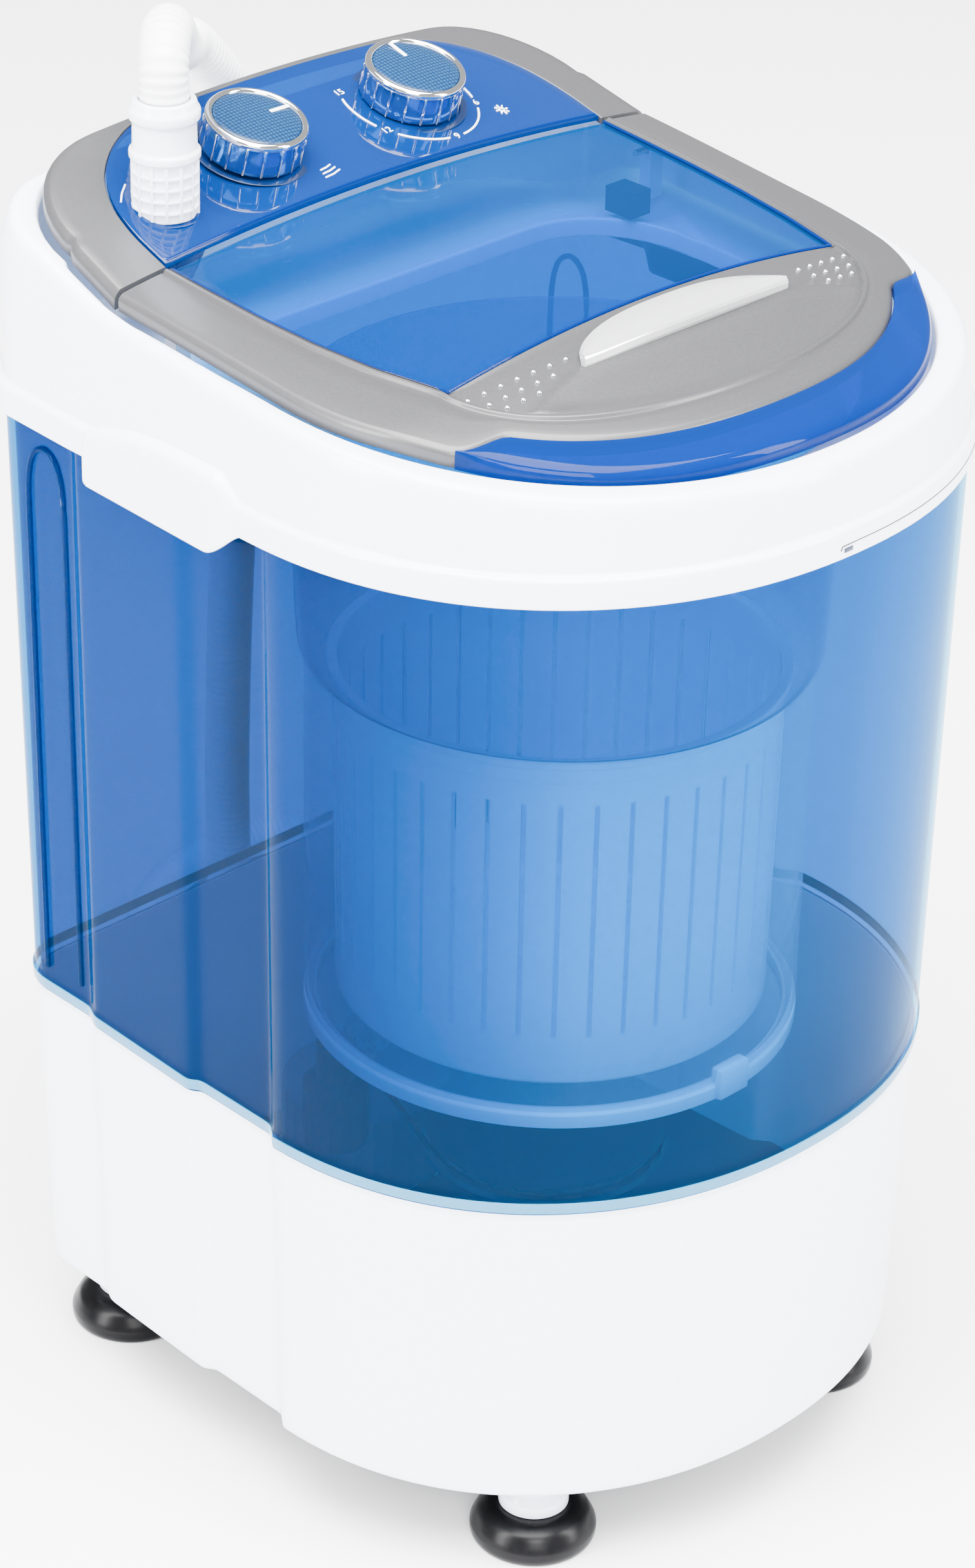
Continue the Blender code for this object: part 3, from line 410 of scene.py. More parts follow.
floor_mesh = bpy.data.meshes.new("floor")
floor_shape = bmesh.new()
bmesh.ops.create_grid(floor_shape, x_segments=2, y_segments=2, size=6.0)
floor_shape.to_mesh(floor_mesh)
floor_shape.free()
floor = bpy.data.objects.new("floor", floor_mesh)
floor.data.materials.append(finish("floor_white", (0.86, 0.86, 0.87), 0.6, mottled=0.005, wave=0.0))
bpy.context.scene.collection.objects.link(floor)

world = bpy.data.worlds.new("studio")
world.use_nodes = True
world.node_tree.nodes["Background"].inputs["Color"].default_value = (1.0, 1.0, 1.0, 1.0)
world.node_tree.nodes["Background"].inputs["Strength"].default_value = 0.7
bpy.context.scene.world = world


def softbox(name, place, aim, width, height, power):
    lamp = bpy.data.lights.new(name, "AREA")
    lamp.shape = "RECTANGLE"
    lamp.size, lamp.size_y, lamp.energy = width, height, power
    obj = bpy.data.objects.new(name, lamp)
    obj.location = place
    obj.rotation_euler = (Vector(aim) - Vector(place)).to_track_quat("-Z", "Y").to_euler()
    bpy.context.scene.collection.objects.link(obj)


softbox("overhead", (-0.7, -0.5, 4.2), (-0.1, 0.0, 0.0), 4.0, 4.0, 1800.0)
softbox("left", (-2.6, 0.5, 1.5), (0.0, 0.0, 0.35), 0.7, 2.2, 200.0)
softbox("front_right", (1.3, -2.4, 1.5), (0.0, 0.0, 0.35), 0.7, 2.2, 170.0)
softbox("front_left", (-2.2, -2.8, 2.2), (0.0, 0.0, 0.35), 1.6, 1.6, 220.0)
print("camera at", [round(c, 3) for c in camera.location])

# %% [markdown]
# Inlet hose. A corrugated white hose pushed into the adapter, over the rear edge and down behind
# to the floor, where the spare length lies in one turn with its connector on top. The ribs are
# rings of the swept tube that swell and shrink; the middle line is a smooth curve.

# %% inlet hose
HOSE = 21.5
PORT_X, PORT_Y = -103.0, 116.0
HOSE_SIDES, RIB_DEPTH, RIB_PITCH = 18, 0.9, 3.4
ROUTE = (
    (PORT_X, PORT_Y, 606.0), (PORT_X, PORT_Y, 620.0), (-100.5, 118.5, 627.5), (-93.0, 126.0, 632.5),
    (-82.0, 137.0, 630.2), (-71.0, 148.0, 624.0), (-60.0, 159.0, 616.5), (-50.0, 168.5, 607.0),
    (-39.0, 178.0, 601.0), (-26.0, 187.0, 598.0), (-14.0, 191.5, 588.0), (4.0, 198.0, 569.5),
    (18.5, 203.0, 547.0), (25.0, 203.5, 518.0), (23.0, 203.0, 470.0), (15.0, 202.0, 400.0),
    (8.0, 201.5, 300.0), (6.0, 201.5, 200.0), (12.0, 202.5, 115.0), (34.0, 206.0, 52.0),
    (70.0, 207.0, 22.0), (104.0, 207.5, 13.0), (150.0, 209.5, 12.0), (190.0, 211.4, 12.0),
)
COIL = (197.0, 319.0, 107.5)


def smooth_line(points, gap):
    """Points at an even gap along one smooth curve through a given route."""
    dense, padded = [], [points[0], *points, points[-1]]
    for a, b, c, d in zip(padded, padded[1:], padded[2:], padded[3:]):
        a, b, c, d = (Vector(p) for p in (a, b, c, d))
        for i in range(24):
            t = i / 24
            dense.append(0.5 * (2 * b + (c - a) * t + (2 * a - 5 * b + 4 * c - d) * t * t
                                + (3 * b - a - 3 * c + d) * t ** 3))
    dense.append(Vector(points[-1]))
    reach = [0.0]
    for p, q in zip(dense, dense[1:]):
        reach.append(reach[-1] + (q - p).length)
    count = max(2, round(reach[-1] / gap))
    out, k = [], 0
    for i in range(count + 1):
        at = reach[-1] * i / count
        while k < len(dense) - 2 and reach[k + 1] < at:
            k += 1
        out.append(dense[k].lerp(dense[k + 1], (at - reach[k]) / max(reach[k + 1] - reach[k], 1e-9)))
    return out, reach[-1]


cx, cy, coil_r = COIL
turns = []
for i in range(1, 32):
    angle = math.radians(-90.0 + 11.2 * i)
    rise = 12.0 + 21.6 * bend((i - 22.0) / 8.0)
    turns.append((cx + coil_r * math.cos(angle), cy + coil_r * math.sin(angle), rise))
hose_line, hose_length = smooth_line(list(ROUTE) + turns, 0.85)


def corrugated(line, radius, depth, pitch):
    """A tube whose radius follows the rib profile along its line."""
    rings, side = [], None
    travelled = 0.0
    for i, here in enumerate(line):
        heading = (line[min(i + 1, len(line) - 1)] - line[max(i - 1, 0)]).normalized()
        if side is None:
            side = heading.orthogonal().normalized()
        side = (side - heading * side.dot(heading)).normalized()
        other = heading.cross(side)
        travelled += (here - line[i - 1]).length if i else 0.0
        wave = 0.5 - 0.5 * math.cos(math.tau * travelled / pitch)
        r = radius - depth * wave ** 1.5
        rings.append([here + side * r * math.cos(math.tau * k / HOSE_SIDES)
                      + other * r * math.sin(math.tau * k / HOSE_SIDES) for k in range(HOSE_SIDES)])
    return loft(rings)


hose = show("corrugated_hose", corrugated(hose_line, HOSE / 2.0, RIB_DEPTH, RIB_PITCH), HOSE_WHITE, "housing",
            ("inlet_hose", "inlet_hose_coil", "inlet_hose_end"), sharp=60.0)
tail, tip = hose_line[-16], hose_line[-1]
nut = turned([(8.2, 0.0), (13.0, 0.0), (14.4, 3.0), (14.4, 24.0), (13.0, 26.5), (12.2, 27.0), (12.2, 38.0),
              (11.0, 40.0), (8.2, 40.0)], 48, [0, 1, 1, 1, 1, 0.4, 0.6, 1, 0])
nut.transform(Vector((0, 0, 1)).rotation_difference((tip - tail).normalized()).to_matrix().to_4x4())
bmesh.ops.translate(nut, verts=nut.verts, vec=tip - (tip - tail).normalized() * 4.0)
connector = show("hose_nut", nut, WHITE, "housing", ("hose_connector",))
print("hose length", round(hose_length * MM, 3), "m")

# %% [markdown]
# Base. One white moulding: nearly upright walls with two moulded steps on each flank, a rolled
# bottom edge, and a narrow parting line below the clear shell.

# %% base and feet


def side_grow(z):
    return -5.0 * (192.0 - z) / 152.0 if z < 192.0 else 4.0 * (z - 192.0) / 285.0


def wall(z, inward=0.0):
    return ring_at(BODY, side_grow(z) - inward, z)


base_rings = [wall(40.0, 8.0), wall(40.0, 3.0), wall(43.0, 0.0), wall(60.0), wall(110.0), wall(160.0),
              wall(188.5), wall(190.2, 0.7), wall(191.8, 0.7), wall(191.8, 2.6), wall(110.0, 2.6),
              wall(46.0, 2.6), wall(42.0, 7.0)]
show("base_skin", loft(base_rings, [0, 2, 3, 0, 0, 0, 0.8, 0.4, 0.3, 0.3, 0, 2, 0], sleeve=True),
     WHITE, "housing", ("base_housing",), sharp=50.0)

STEM = [(0, 48.0), (9.5, 48.0), (9.5, 44.0), (12.5, 42.5), (13.0, 27.0), (15.6, 22.5), (15.6, 17.2),
        (0, 17.2)]
PAD = [(0, 17.0), (17.5, 17.0), (20.5, 16.2), (24.6, 13.4), (27.2, 8.6), (28.2, 6.2), (28.2, 2.6),
       (27.0, 0.2), (20.0, 0.2), (14.0, 2.5), (0, 3.5)]
FEET = {"front_left": (-93.0, -108.0), "front_right": (93.0, -108.0),
        "rear_left": (-112.0, 140.0), "rear_right": (112.0, 140.0)}
for where, (fx, fy) in FEET.items():
    stem = turned(STEM, 48, [0, 0.5, 0.5, 1.0, 2.0, 1.0, 0.6, 0])
    pad = turned(PAD, 56, [0, 1, 1.5, 2, 0.8, 0.8, 1.5, 1, 1, 1, 0])
    show(f"stem_{where}", placed(stem, fx, fy), WHITE, "housing", (f"foot_stem_{where}",))
    show(f"pad_{where}", placed(pad, fx, fy), RUBBER, "housing", (f"foot_pad_{where}",))
print("base and feet made")

# %% [markdown]
# Clear shell. A thin tinted wall between the base and the collar. Its lower edge is thickened
# into a band that catches the light, and a raised frame stiffens the flat panel at each rear flank.

# %% clear shell
shell_rings = [wall(192.2, 0.9), wall(192.2, -0.5), wall(199.0, -0.5), wall(200.2, 0.0), wall(250.0),
               wall(330.0), wall(410.0), wall(483.5), wall(483.5, 2.4), wall(330.0, 2.4),
               wall(204.0, 2.4), wall(192.2, 2.4)]
shell = loft(shell_rings, [0, 0.6, 0.6, 0.6, 0, 0, 0, 0.5, 0.5, 0, 0, 0], sleeve=True)
ridges = []
for side in (-1.0, 1.0):
    frame_line = [(120.5, 206.0), (120.5, 448.0), (124.0, 461.0), (132.0, 466.0), (140.0, 461.0),
                  (143.5, 448.0), (143.5, 206.0)]
    bead = [(side * (154.4 + side_grow(z)), y, z) for y, z in frame_line]
    path = softened(bead, [0, 10, 8, 6, 8, 10, 0], 4)
    ridges.append(swept([tuple(p) for p in path], 1.3))
band = loft([wall(193.2, -0.5), wall(193.2, -0.9), wall(198.2, -0.9), wall(198.2, -0.5)], [0, 0.2, 0.2, 0],
            sleeve=True)
show("shell_band", band, BAND_BLUE, "housing", sharp=50.0)
show("clear_shell", joined([shell] + ridges), SHELL_BLUE, "housing",
     ("body_shell",), sharp=50.0)
print("shell made")

# %% [markdown]
# Collar. A thick white rim around the lid and the deck: a projecting skirt with a crease above it,
# a wall that leans in, a broad rounded rim, a dark gap, and a ledge that ends in the wash mouth.
# The two carry grips are lugs that hang from the skirt.

# %% collar


def ledge_z(y):
    return rim_z(min(y, HINGE_Y)) - 21.0 - 20.0 * bend((y - 90.0) / 55.0)


def rim(drop):
    return lambda x, y: rim_z(y) - drop


def ledge(drop):
    return lambda x, y: ledge_z(y) - drop


collar_rings = [
    ring_at(COLLAR, 4.5, 477.6), ring_at(COLLAR, 6.6, 477.2), ring_at(COLLAR, 6.7, 490.0),
    ring_at(COLLAR, 3.4, 491.4), ring_at(COLLAR, 2.7, rim(12.0)), ring_at(COLLAR, 0.6, rim(2.4)),
    ring_at(COLLAR, -3.0, rim(0.0)), ring_at(LID, 1.7, rim(0.3)), ring_at(LID, 0.9, rim(3.0)),
    ring_at(LID, 0.9, ledge(0.0)), ring_at(MOUTH, 0.0, ledge(0.0)), ring_at(MOUTH, 0.0, ledge(9.0)),
    ring_at(MOUTH, 2.6, ledge(9.0)), ring_at(MOUTH, 2.6, ledge(2.6)), ring_at(LID, 0.0, ledge(2.6)),
    ring_at(COLLAR, 0.6, 489.0), ring_at(COLLAR, 4.5, 486.0)]
collar = loft(collar_rings, [0.4, 1.6, 1.6, 1.2, 0, 4.0, 4.0, 1.6, 1.0, 2.0, 2.0, 1, 0.5, 1, 2, 1, 0.5],
              sleeve=True, steps=4)


def grip(side):
    """A lug that swells out of the skirt and hangs below it, with a soft arched top."""
    rings = []
    for i in range(53):
        t = i / 52
        y = -9.0 + 104.0 * t
        rise = bend(t / 0.22) * bend((1.0 - t) / 0.045)
        arch = bend(t / 0.18) * (1.0 - 0.9 * max(0.0, (t - 0.45) / 0.55) ** 2)
        edge = COLLAR.half_width + 6.1 - max(0.0, y + 11.5) * 0.0405
        out, low, top = edge + 3.4 * rise, 478.0 - (13.8 - 2.4 * t) * rise, 489.0 + 12.6 * arch
        section = ((edge - 2.2, low + 3.0), (edge - 1.5, low + 0.4), (out - 0.6, low), (out, low + 2.0),
                   (out, top - 6.0), (out - 1.0, top - 2.0), (edge - 3.4, top), (edge - 4.8, top - 2.0))
        rings.append([(side * x, y, z) for x, z in section])
    columns = [softened(ring, [0, 0.5, 1, 1.6, 3, 2.5, 1.5, 0], 3, closed=True) for ring in rings]
    return loft(columns)


show("collar_skin", joined([collar, grip(-1.0), grip(1.0)]), WHITE, "housing",
     ("top_collar",), sharp=50.0)
crease = sorted((x, y) for x, y in outline(COLLAR, 6.6) if y < -60.0 and -8.0 < x < 120.0)
show("collar_seam", swept([(-11.0, crease[0][1] + 0.1, 481.6), (-10.4, crease[0][1], 483.4)]
                          + [(x, y, 483.6) for x, y in crease], 0.3, 6), DARK, "housing")
slot = block((-9.0, crease[0][1] - 0.25, 480.2), (-4.0, crease[0][1] + 1.0, 482.2), 0.2)
show("collar_slot", slot, DEEP_BLUE, "housing")
print("collar made")

# %% [markdown]
# Deck. The silver surround and the clear blue control panel slope up behind the lid. The panel is
# a crowned plate with a raised front edge at the seam.

# %% deck and control panel
EDGE_POINTS = 121
PLATE_SHARES = (0.994, 0.95, 0.85, 0.7, 0.5, 0.3, 0.12, 0.02)  # rings from a plate's edge inward
PANEL = ((88.2, 127.5), (110.0, 126.0), (128.0, 121.5), (144.0, 112.0), (156.0, 98.0), (165.0, 78.0))


def spaced(points, count):
    """Even steps along a plain 2-D line."""
    reach = [0.0]
    for p, q in zip(points, points[1:]):
        reach.append(reach[-1] + math.dist(p, q))
    out, k = [], 0
    for i in range(count):
        at = reach[-1] * i / (count - 1)
        while k < len(points) - 2 and reach[k + 1] < at:
            k += 1
        t = (at - reach[k]) / max(reach[k + 1] - reach[k], 1e-9)
        out.append(tuple(a + (b - a) * t for a, b in zip(points[k], points[k + 1])))
    return out


def panel_edge(grow, y_start):
    """Right side from the seam, round the rear, to the left side."""
    side = [(half + grow, y) for y, half in PANEL]
    side[0] = (side[0][0], y_start)
    side[-1] = (side[-1][0], side[-1][1] + grow)
    corner = [(p.x, p.y) for p in softened([(x, y, 0.0) for x, y in side + [(0.0, side[-1][1])]],
                                           [0, 8, 8, 8, 8, 10, 0], 6)]
    half = spaced(corner, EDGE_POINTS // 2 + 1)
    return half + [(-x, y) for x, y in reversed(half[:-1])]


def deck_edge(grow, y_start):
    points = [(x, y) for x, y in outline(LID, grow) if y > y_start and x >= 0.0]
    line = [(LID.half_width + grow, y_start)] + points + [(0.0, LID.rear + grow)]
    half = spaced(line, EDGE_POINTS // 2 + 1)
    return half + [(-x, y) for x, y in reversed(half[:-1])]


def lifted(points, surface, offset=0.0):
    return [(x, y, surface(x, y) + offset) for x, y in points]


def between(first, second, share):
    return [(ax + (bx - ax) * share, ay + (by - ay) * share) for (ax, ay), (bx, by) in zip(first, second)]


seam = HINGE_Y + 1.3
outer, inner = deck_edge(-0.8, seam), panel_edge(0.8, seam)
deck_rings = [lifted(outer, deck_z, -8.0), lifted(outer, deck_z, -3.0),
              lifted(deck_edge(-2.6, seam), deck_z, -1.0)]
deck_rings += [lifted(between(deck_edge(-4.0, seam), inner, k / 6), deck_z) for k in range(7)]
deck_rings += [lifted(inner, deck_z, -3.4), lifted(deck_edge(-4.6, seam), deck_z, -4.4),
               lifted(deck_edge(-3.4, seam), deck_z, -8.0)]
deck = loft(deck_rings, [0.3, 1.5, 1.2, 0, 0, 0, 0, 0, 0, 0.7, 0.3, 0.5, 0.3], sleeve=True, around=False)
show("deck_skin", deck, SILVER, "housing", ("deck_frame",), sharp=50.0)


def plate(edge, surface, above, below, centre):
    """A crowned plate that follows a surface inside a closed edge."""
    def shrunk(share):
        return [(centre[0] + (x - centre[0]) * share, centre[1] + (y - centre[1]) * share) for x, y in edge]
    rings = [lifted(shrunk(s), surface, below) for s in PLATE_SHARES[::-1][:-1]]
    rings += [lifted(shrunk(1.0), surface, below), lifted(shrunk(1.0), surface, above - 0.4)]
    rings += [lifted(shrunk(s), surface, above) for s in PLATE_SHARES]
    return loft(rings)


front = [(x, 88.4) for x, _ in spaced([(-127.0, 0.0), (127.0, 0.0)], 61)[1:-1]]
panel_loop = panel_edge(0.0, 88.4) + front
show("panel_skin", plate(panel_loop, deck_z, 0.7, -1.8, (0.0, 122.0)),
     PANEL_BLUE, "housing", ("control_panel",), sharp=50.0)
lip = [(x, 89.4, deck_z(x, 89.4) + 0.5) for x in range(-126, 127, 3)]
show("panel_lip", swept(lip, 0.8), LENS_BLUE, "housing")
print("deck made")

# %% [markdown]
# Knobs. Each is a blue plated skirt between upright bright ribs, under a bright rim, with a dimpled
# insert and a white pointer. They sit square on the sloping deck and turn with their own bodies.

# %% knobs
LEAN = 16.6
KNOB_X, KNOB_Y, KNOB_R = 46.5, 126.3, 22.8
KNOB_RIBS = 18
DIAL_R, DIAL_SQUASH = 31.5, 0.96


def deck_point(x, y, up=0.0):
    s, c = math.sin(math.radians(LEAN)), math.cos(math.radians(LEAN))
    return x, y - up * s, deck_z(x, y) + up * c


def on_deck(shape, x, y):
    return placed(shape, *deck_point(x, y), lean=LEAN)


def knob(x, body, name, pointer):
    y, r = KNOB_Y, KNOB_R
    skirt = turned([(0, 1.9), (r - 0.6, 1.9), (r - 0.4, 3.2), (r - 1.6, 14.4), (r - 4.2, 14.4),
                    (0, 14.4)], 96, [0, 0.6, 0.8, 0.4, 0, 0])
    show(f"{name}_skirt", on_deck(skirt, x, y), BLUE_PLATE, body, (f"{name}_knob",))
    bezel = turned([(r - 4.0, 14.6), (r - 1.0, 14.6), (r - 0.4, 15.2), (r - 0.5, 16.8), (r - 1.4, 17.8),
                    (r - 2.6, 18.0), (r - 3.6, 17.0)], 96, [0, 0.4, 0.4, 0.8, 0.8, 0.6, 0.4])
    parts = [bezel]
    for i in range(KNOB_RIBS):
        rib = block((r - 1.7, -0.5, 2.0), (r - 0.1, 0.5, 15.0), 0.2)
        parts.append(swung(rib, math.tau * i / KNOB_RIBS))
    show(f"{name}_rim", on_deck(joined(parts), x, y), CHROME, body)
    cap = turned([(0, 18.6), (9.0, 18.4), (15.0, 18.0), (r - 3.7, 17.2), (r - 3.7, 15.0), (0, 15.0)], 64,
                 [0, 3, 3, 0.6, 0.2, 0])
    show(f"{name}_cap", on_deck(cap, x, y), INSERT_BLUE, body, (f"{name}_knob_insert",))
    bar = block((-0.9, 7.0, 18.0), (0.9, 17.8, 18.7), 0.25)
    show(f"{name}_pointer", on_deck(swung(bar, math.radians(pointer)), x, y), MARK, body)
    # A flat dark blue ring on the deck round the knob's foot: a painted shadow.
    ring = turned([(r + 0.3, 0.6), (r + 3.4, 0.6), (r + 3.4, 1.1), (r + 0.3, 1.1)], 72, [0, 0, 0.3, 0.3])
    show(f"{name}_painted_shadow_ring", on_deck(ring, x, y), DEEP_BLUE, "housing")


def dimpled(name):
    """Deep blue with a fine grid of paler dimples, level with the sloping knob."""
    made = finish(name, (0.01, 0.05, 0.18), 0.2)
    tree = made.node_tree
    level = tree.nodes.new("ShaderNodeMapping")
    level.inputs["Rotation"].default_value = (math.radians(-LEAN), 0.0, 0.0)
    tree.links.new(tree.nodes["Texture Coordinate"].outputs["Object"], level.inputs["Vector"])
    flat = tree.nodes.new("ShaderNodeMapping")
    flat.inputs["Scale"].default_value = (1.0, 1.0, 0.0)
    tree.links.new(level.outputs["Vector"], flat.inputs["Vector"])
    cells = tree.nodes.new("ShaderNodeTexVoronoi")
    cells.inputs["Scale"].default_value = 560.0
    cells.inputs["Randomness"].default_value = 0.1
    tree.links.new(flat.outputs["Vector"], cells.inputs["Vector"])
    ramp = tree.nodes.new("ShaderNodeValToRGB")
    ramp.color_ramp.elements[0].position = 0.15
    ramp.color_ramp.elements[0].color = (0.007, 0.045, 0.10, 1.0)
    ramp.color_ramp.elements[1].position = 0.5
    ramp.color_ramp.elements[1].color = (0.0, 0.012, 0.05, 1.0)
    tree.links.new(cells.outputs["Distance"], ramp.inputs["Fac"])
    tree.links.new(ramp.outputs["Color"], tree.nodes["Principled BSDF"].inputs["Base Color"])
    return made


def on_dial(clockwise, up):
    """A point on the timer's scale, which is foreshortened a little up the slope."""
    angle = math.radians(clockwise)
    return deck_point(KNOB_X + DIAL_R * math.sin(angle), KNOB_Y + DIAL_R * math.cos(angle) * DIAL_SQUASH, up)


INSERT_BLUE = dimpled("dimpled_blue")
knob(KNOB_X, "timer_dial", "timer", 0.0)
knob(-KNOB_X, "selector_dial", "selector", -90.0)
for number, clockwise in (("3", 54.0), ("6", 116.0), ("9", 179.0), ("12", 240.0), ("15", 299.0)):
    text = bpy.data.curves.new(f"dial_{number}", "FONT")
    text.body = number
    text.size, text.extrude, text.align_x, text.align_y = 0.0052, 0.00012, "CENTER", "CENTER"
    holder = bpy.data.objects.new(f"dial_{number}", text)
    bpy.context.scene.collection.objects.link(holder)
    place = Matrix.Translation(Vector(on_dial(clockwise, 1.0)) * MM)
    holder.matrix_world = place @ Matrix.Rotation(math.radians(LEAN), 4, "X")
    bpy.context.view_layer.update()
    solid = bpy.data.meshes.new_from_object(holder.evaluated_get(bpy.context.evaluated_depsgraph_get()))
    solid.transform(holder.matrix_world)
    bpy.data.objects.remove(holder)
    solid.materials.clear()
    solid.materials.append(MARK)
    label = bpy.data.objects.new(f"dial_{number}", solid)
    bpy.context.scene.collection.objects.link(label)
    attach(label, "housing")

arcs = [swept([on_dial(first + (last - first) * i / 14, 0.8) for i in range(15)], 0.5, 6)
        for first, last in ((62.0, 108.0), (124.0, 171.0), (187.0, 231.0), (249.0, 290.0))]
show("dial_arc", joined(arcs), MARK, "housing")
strokes = [[(-30.0, 97.0), (-25.0, 97.4), (-20.5, 98.6)], [(-29.4, 99.4), (-25.0, 99.8), (-21.2, 100.8)],
           [(-28.6, 101.8), (-25.0, 102.2), (-22.0, 103.0)],
           [(-118.0, 127.0), (-114.0, 131.0), (-109.0, 134.6)]]
for i in range(8):
    angle = math.tau * i / 8
    strokes.append([(83.0 + d * math.cos(angle), 105.0 + d * math.sin(angle)) for d in (1.9, 2.6, 3.3)])
strokes.append([(83.0 + 1.2 * math.cos(0.4 * i), 105.0 + 1.2 * math.sin(0.4 * i)) for i in range(15)])
marks = [swept([deck_point(px, py, 0.8) for px, py in line], 0.4, 6) for line in strokes]
show("panel_marks", joined(marks), MARK, "housing")
print("knobs made")

# %% [markdown]
# Hose adapter. A white sleeve with two flange rings above and a lattice of square ribs below,
# standing in the inlet port.

# %% hose adapter
ADAPTER_RIBS = 14
sleeve = turned([(11.0, -3.0), (13.2, -3.0), (13.2, 20.0), (14.0, 22.0), (15.0, 22.6), (15.0, 25.6),
                 (13.6, 26.6), (13.4, 38.0), (15.0, 39.4), (15.2, 43.0), (14.0, 45.0), (13.2, 47.6),
                 (11.0, 47.6)], 64, [0, 0.4, 1, 1, 0.6, 0.6, 0.6, 1, 1, 1, 0.6, 0.6, 0])
ribs = [sleeve]
for i in range(ADAPTER_RIBS):
    rib = block((12.6, -0.6, -2.0), (14.4, 0.6, 21.5), 0.25)
    ribs.append(swung(rib, math.tau * i / ADAPTER_RIBS))
for z in (1.0, 6.0, 11.0, 16.0):
    ribs.append(turned([(12.8, z), (14.3, z), (14.3, z + 1.2), (12.8, z + 1.2)], 56, [0, 0.3, 0.3, 0]))
show("adapter_skin", placed(joined(ribs), PORT_X, PORT_Y, deck_z(PORT_X, PORT_Y)), WHITE, "housing",
     ("hose_adapter",))
print("adapter made")

# %% [markdown]
# Lid. A silver frame round a sunken clear window. A bead follows the window's sides and sweeps
# round the front as an ellipse; inside it are two dimpled corners and a smooth dish under the
# bright crescent handle. A clear blue crescent is let into the front edge.

# %% lid
LID_REAR = 84.8
WINDOW = ((85.0, 127.0), (60.0, 127.0), (30.0, 126.5), (0.0, 124.5), (-30.0, 120.5), (-62.0, 113.0))
SIDE, FRONT = 26, 110  # points along a side and round the front
TURN_Y, BEAD_X, BEAD_Y = -62.0, 116.2, 61.5


def window_half(y):
    for (y1, h1), (y2, h2) in zip(WINDOW, WINDOW[1:]):
        if y >= y2:
            return h1 + (h2 - h1) * (y1 - y) / (y1 - y2)
    return WINDOW[-1][1]


def lid_outline(grow):
    """Right side from the seam, round the front, to the left side."""
    a, b, c, power = LID.half_width + grow, LID.depth + grow, LID.centre, LID.power
    points = []
    for i in range(SIDE):
        y = LID_REAR - (LID_REAR - TURN_Y) * i / SIDE
        inside = max(0.0, (c - y) / b) ** power
        points.append((a * (1.0 - inside) ** (1.0 / power), y))
    start = math.asin(((TURN_Y - c) / -b) ** (power / 2.0))
    for i in range(FRONT + 1):
        t = start + (math.pi - 2.0 * start) * i / FRONT
        x = math.copysign(abs(math.cos(t)) ** (2.0 / power), math.cos(t))
        points.append((a * x, c - b * math.sin(t) ** (2.0 / power)))
    return points + [(-x, y) for x, y in reversed(points[:SIDE])]


def bead_line(grow):
    """Follows the window's side, then an ellipse round the front."""
    side = [(window_half(y) + 3.2 + grow, y) for _, y in lid_outline(0.0)[:SIDE]]
    a, b = BEAD_X + grow, BEAD_Y + grow
    turn = [math.pi * i / FRONT for i in range(FRONT + 1)]
    front = [(a * math.cos(t), TURN_Y - b * math.sin(t)) for t in turn]
    return side + front + [(-x, y) for x, y in reversed(side)]


def window_line(grow):
    side = [(window_half(y) + grow, y) for _, y in lid_outline(0.0)[:SIDE]]
    front = [((113.0 + grow) * math.cos(math.pi * i / FRONT), TURN_Y - grow) for i in range(FRONT + 1)]
    return side + front + [(-x, y) for x, y in reversed(side)]


def lens_depth(x):
    reach = abs(x)
    return (24.0 - 8.0 * (min(reach, 137.0) / 120.0) ** 2) * bend((138.0 - reach) / 13.0)


def inset_edge(extra=0.0):
    """The frame's outer edge, drawn in where the crescent lens sits."""
    edge = lid_outline(-0.8)
    out = []
    for i, (x, y) in enumerate(edge):
        px, py = edge[max(i - 1, 0)]
        qx, qy = edge[min(i + 1, len(edge) - 1)]
        run = math.hypot(qx - px, qy - py)
        depth = (lens_depth(x) if y < -60.0 else 0.0) + extra
        out.append((x + (qy - py) / run * depth, y - (qx - px) / run * depth))
    return out


def dish(x, y):
    """Height added to the lid inside its bead: the smooth dish and, beside it, sunken corners."""
    inside = (x / BEAD_X) ** 2 + ((y - TURN_Y) / BEAD_Y) ** 2
    if y > TURN_Y or inside > 1.0:
        return 0.0
    line = -84.0 - 0.0032 * max(0.0, abs(x) - 40.0) ** 2
    corner = bend((y - line) / 2.0)
    hollow = -1.6 * bend((1.0 - inside) / 0.25) * bend((line - y) / 6.0)
    return hollow - corner * bend((1.0 - inside) / 0.05)


def lid_top(x, y):
    return lid_z(x, y) + dish(x, y)


edge, bead_in, bead_out, opening = inset_edge(), bead_line(-1.6), bead_line(1.8), window_line(1.0)
rows, radii = [], []


def row(points, offset, radius=0.0, surface=lid_top):
    rows.append(lifted(points, surface, offset))
    radii.append(radius)


row(edge, -7.3, 0.4)
row(edge, -1.6, 1.2)
row(inset_edge(2.2), -0.2, 0.8)
row(between(inset_edge(2.2), bead_out, 0.33), 0.0)
row(between(inset_edge(2.2), bead_out, 0.66), 0.0)
row(bead_line(2.6), 0.0)
row(bead_out, -0.5, 0.5)
row(bead_line(1.0), 0.9, 0.4)
row(bead_line(-0.6), 0.9, 0.4)
row(bead_in, -0.6, 0.5)
for k in range(1, 22):
    row(between(bead_in, opening, k / 22), 0.0)
row(window_line(1.6), 0.5, 0.3)
row(window_line(0.9), 0.2, 0.3)
row(opening, -3.4, 0.3)
for k in (0.3, 0.6):
    row(between(opening, inset_edge(4.4), k), -3.8)
row(inset_edge(4.4), -4.4, 0.3)
row(inset_edge(3.0), -7.3, 0.3)
show("lid_skin", loft(rows, radii, sleeve=True, around=False, steps=2), SILVER, "lid",
     ("lid_frame",), sharp=50.0)
print("lid frame made")

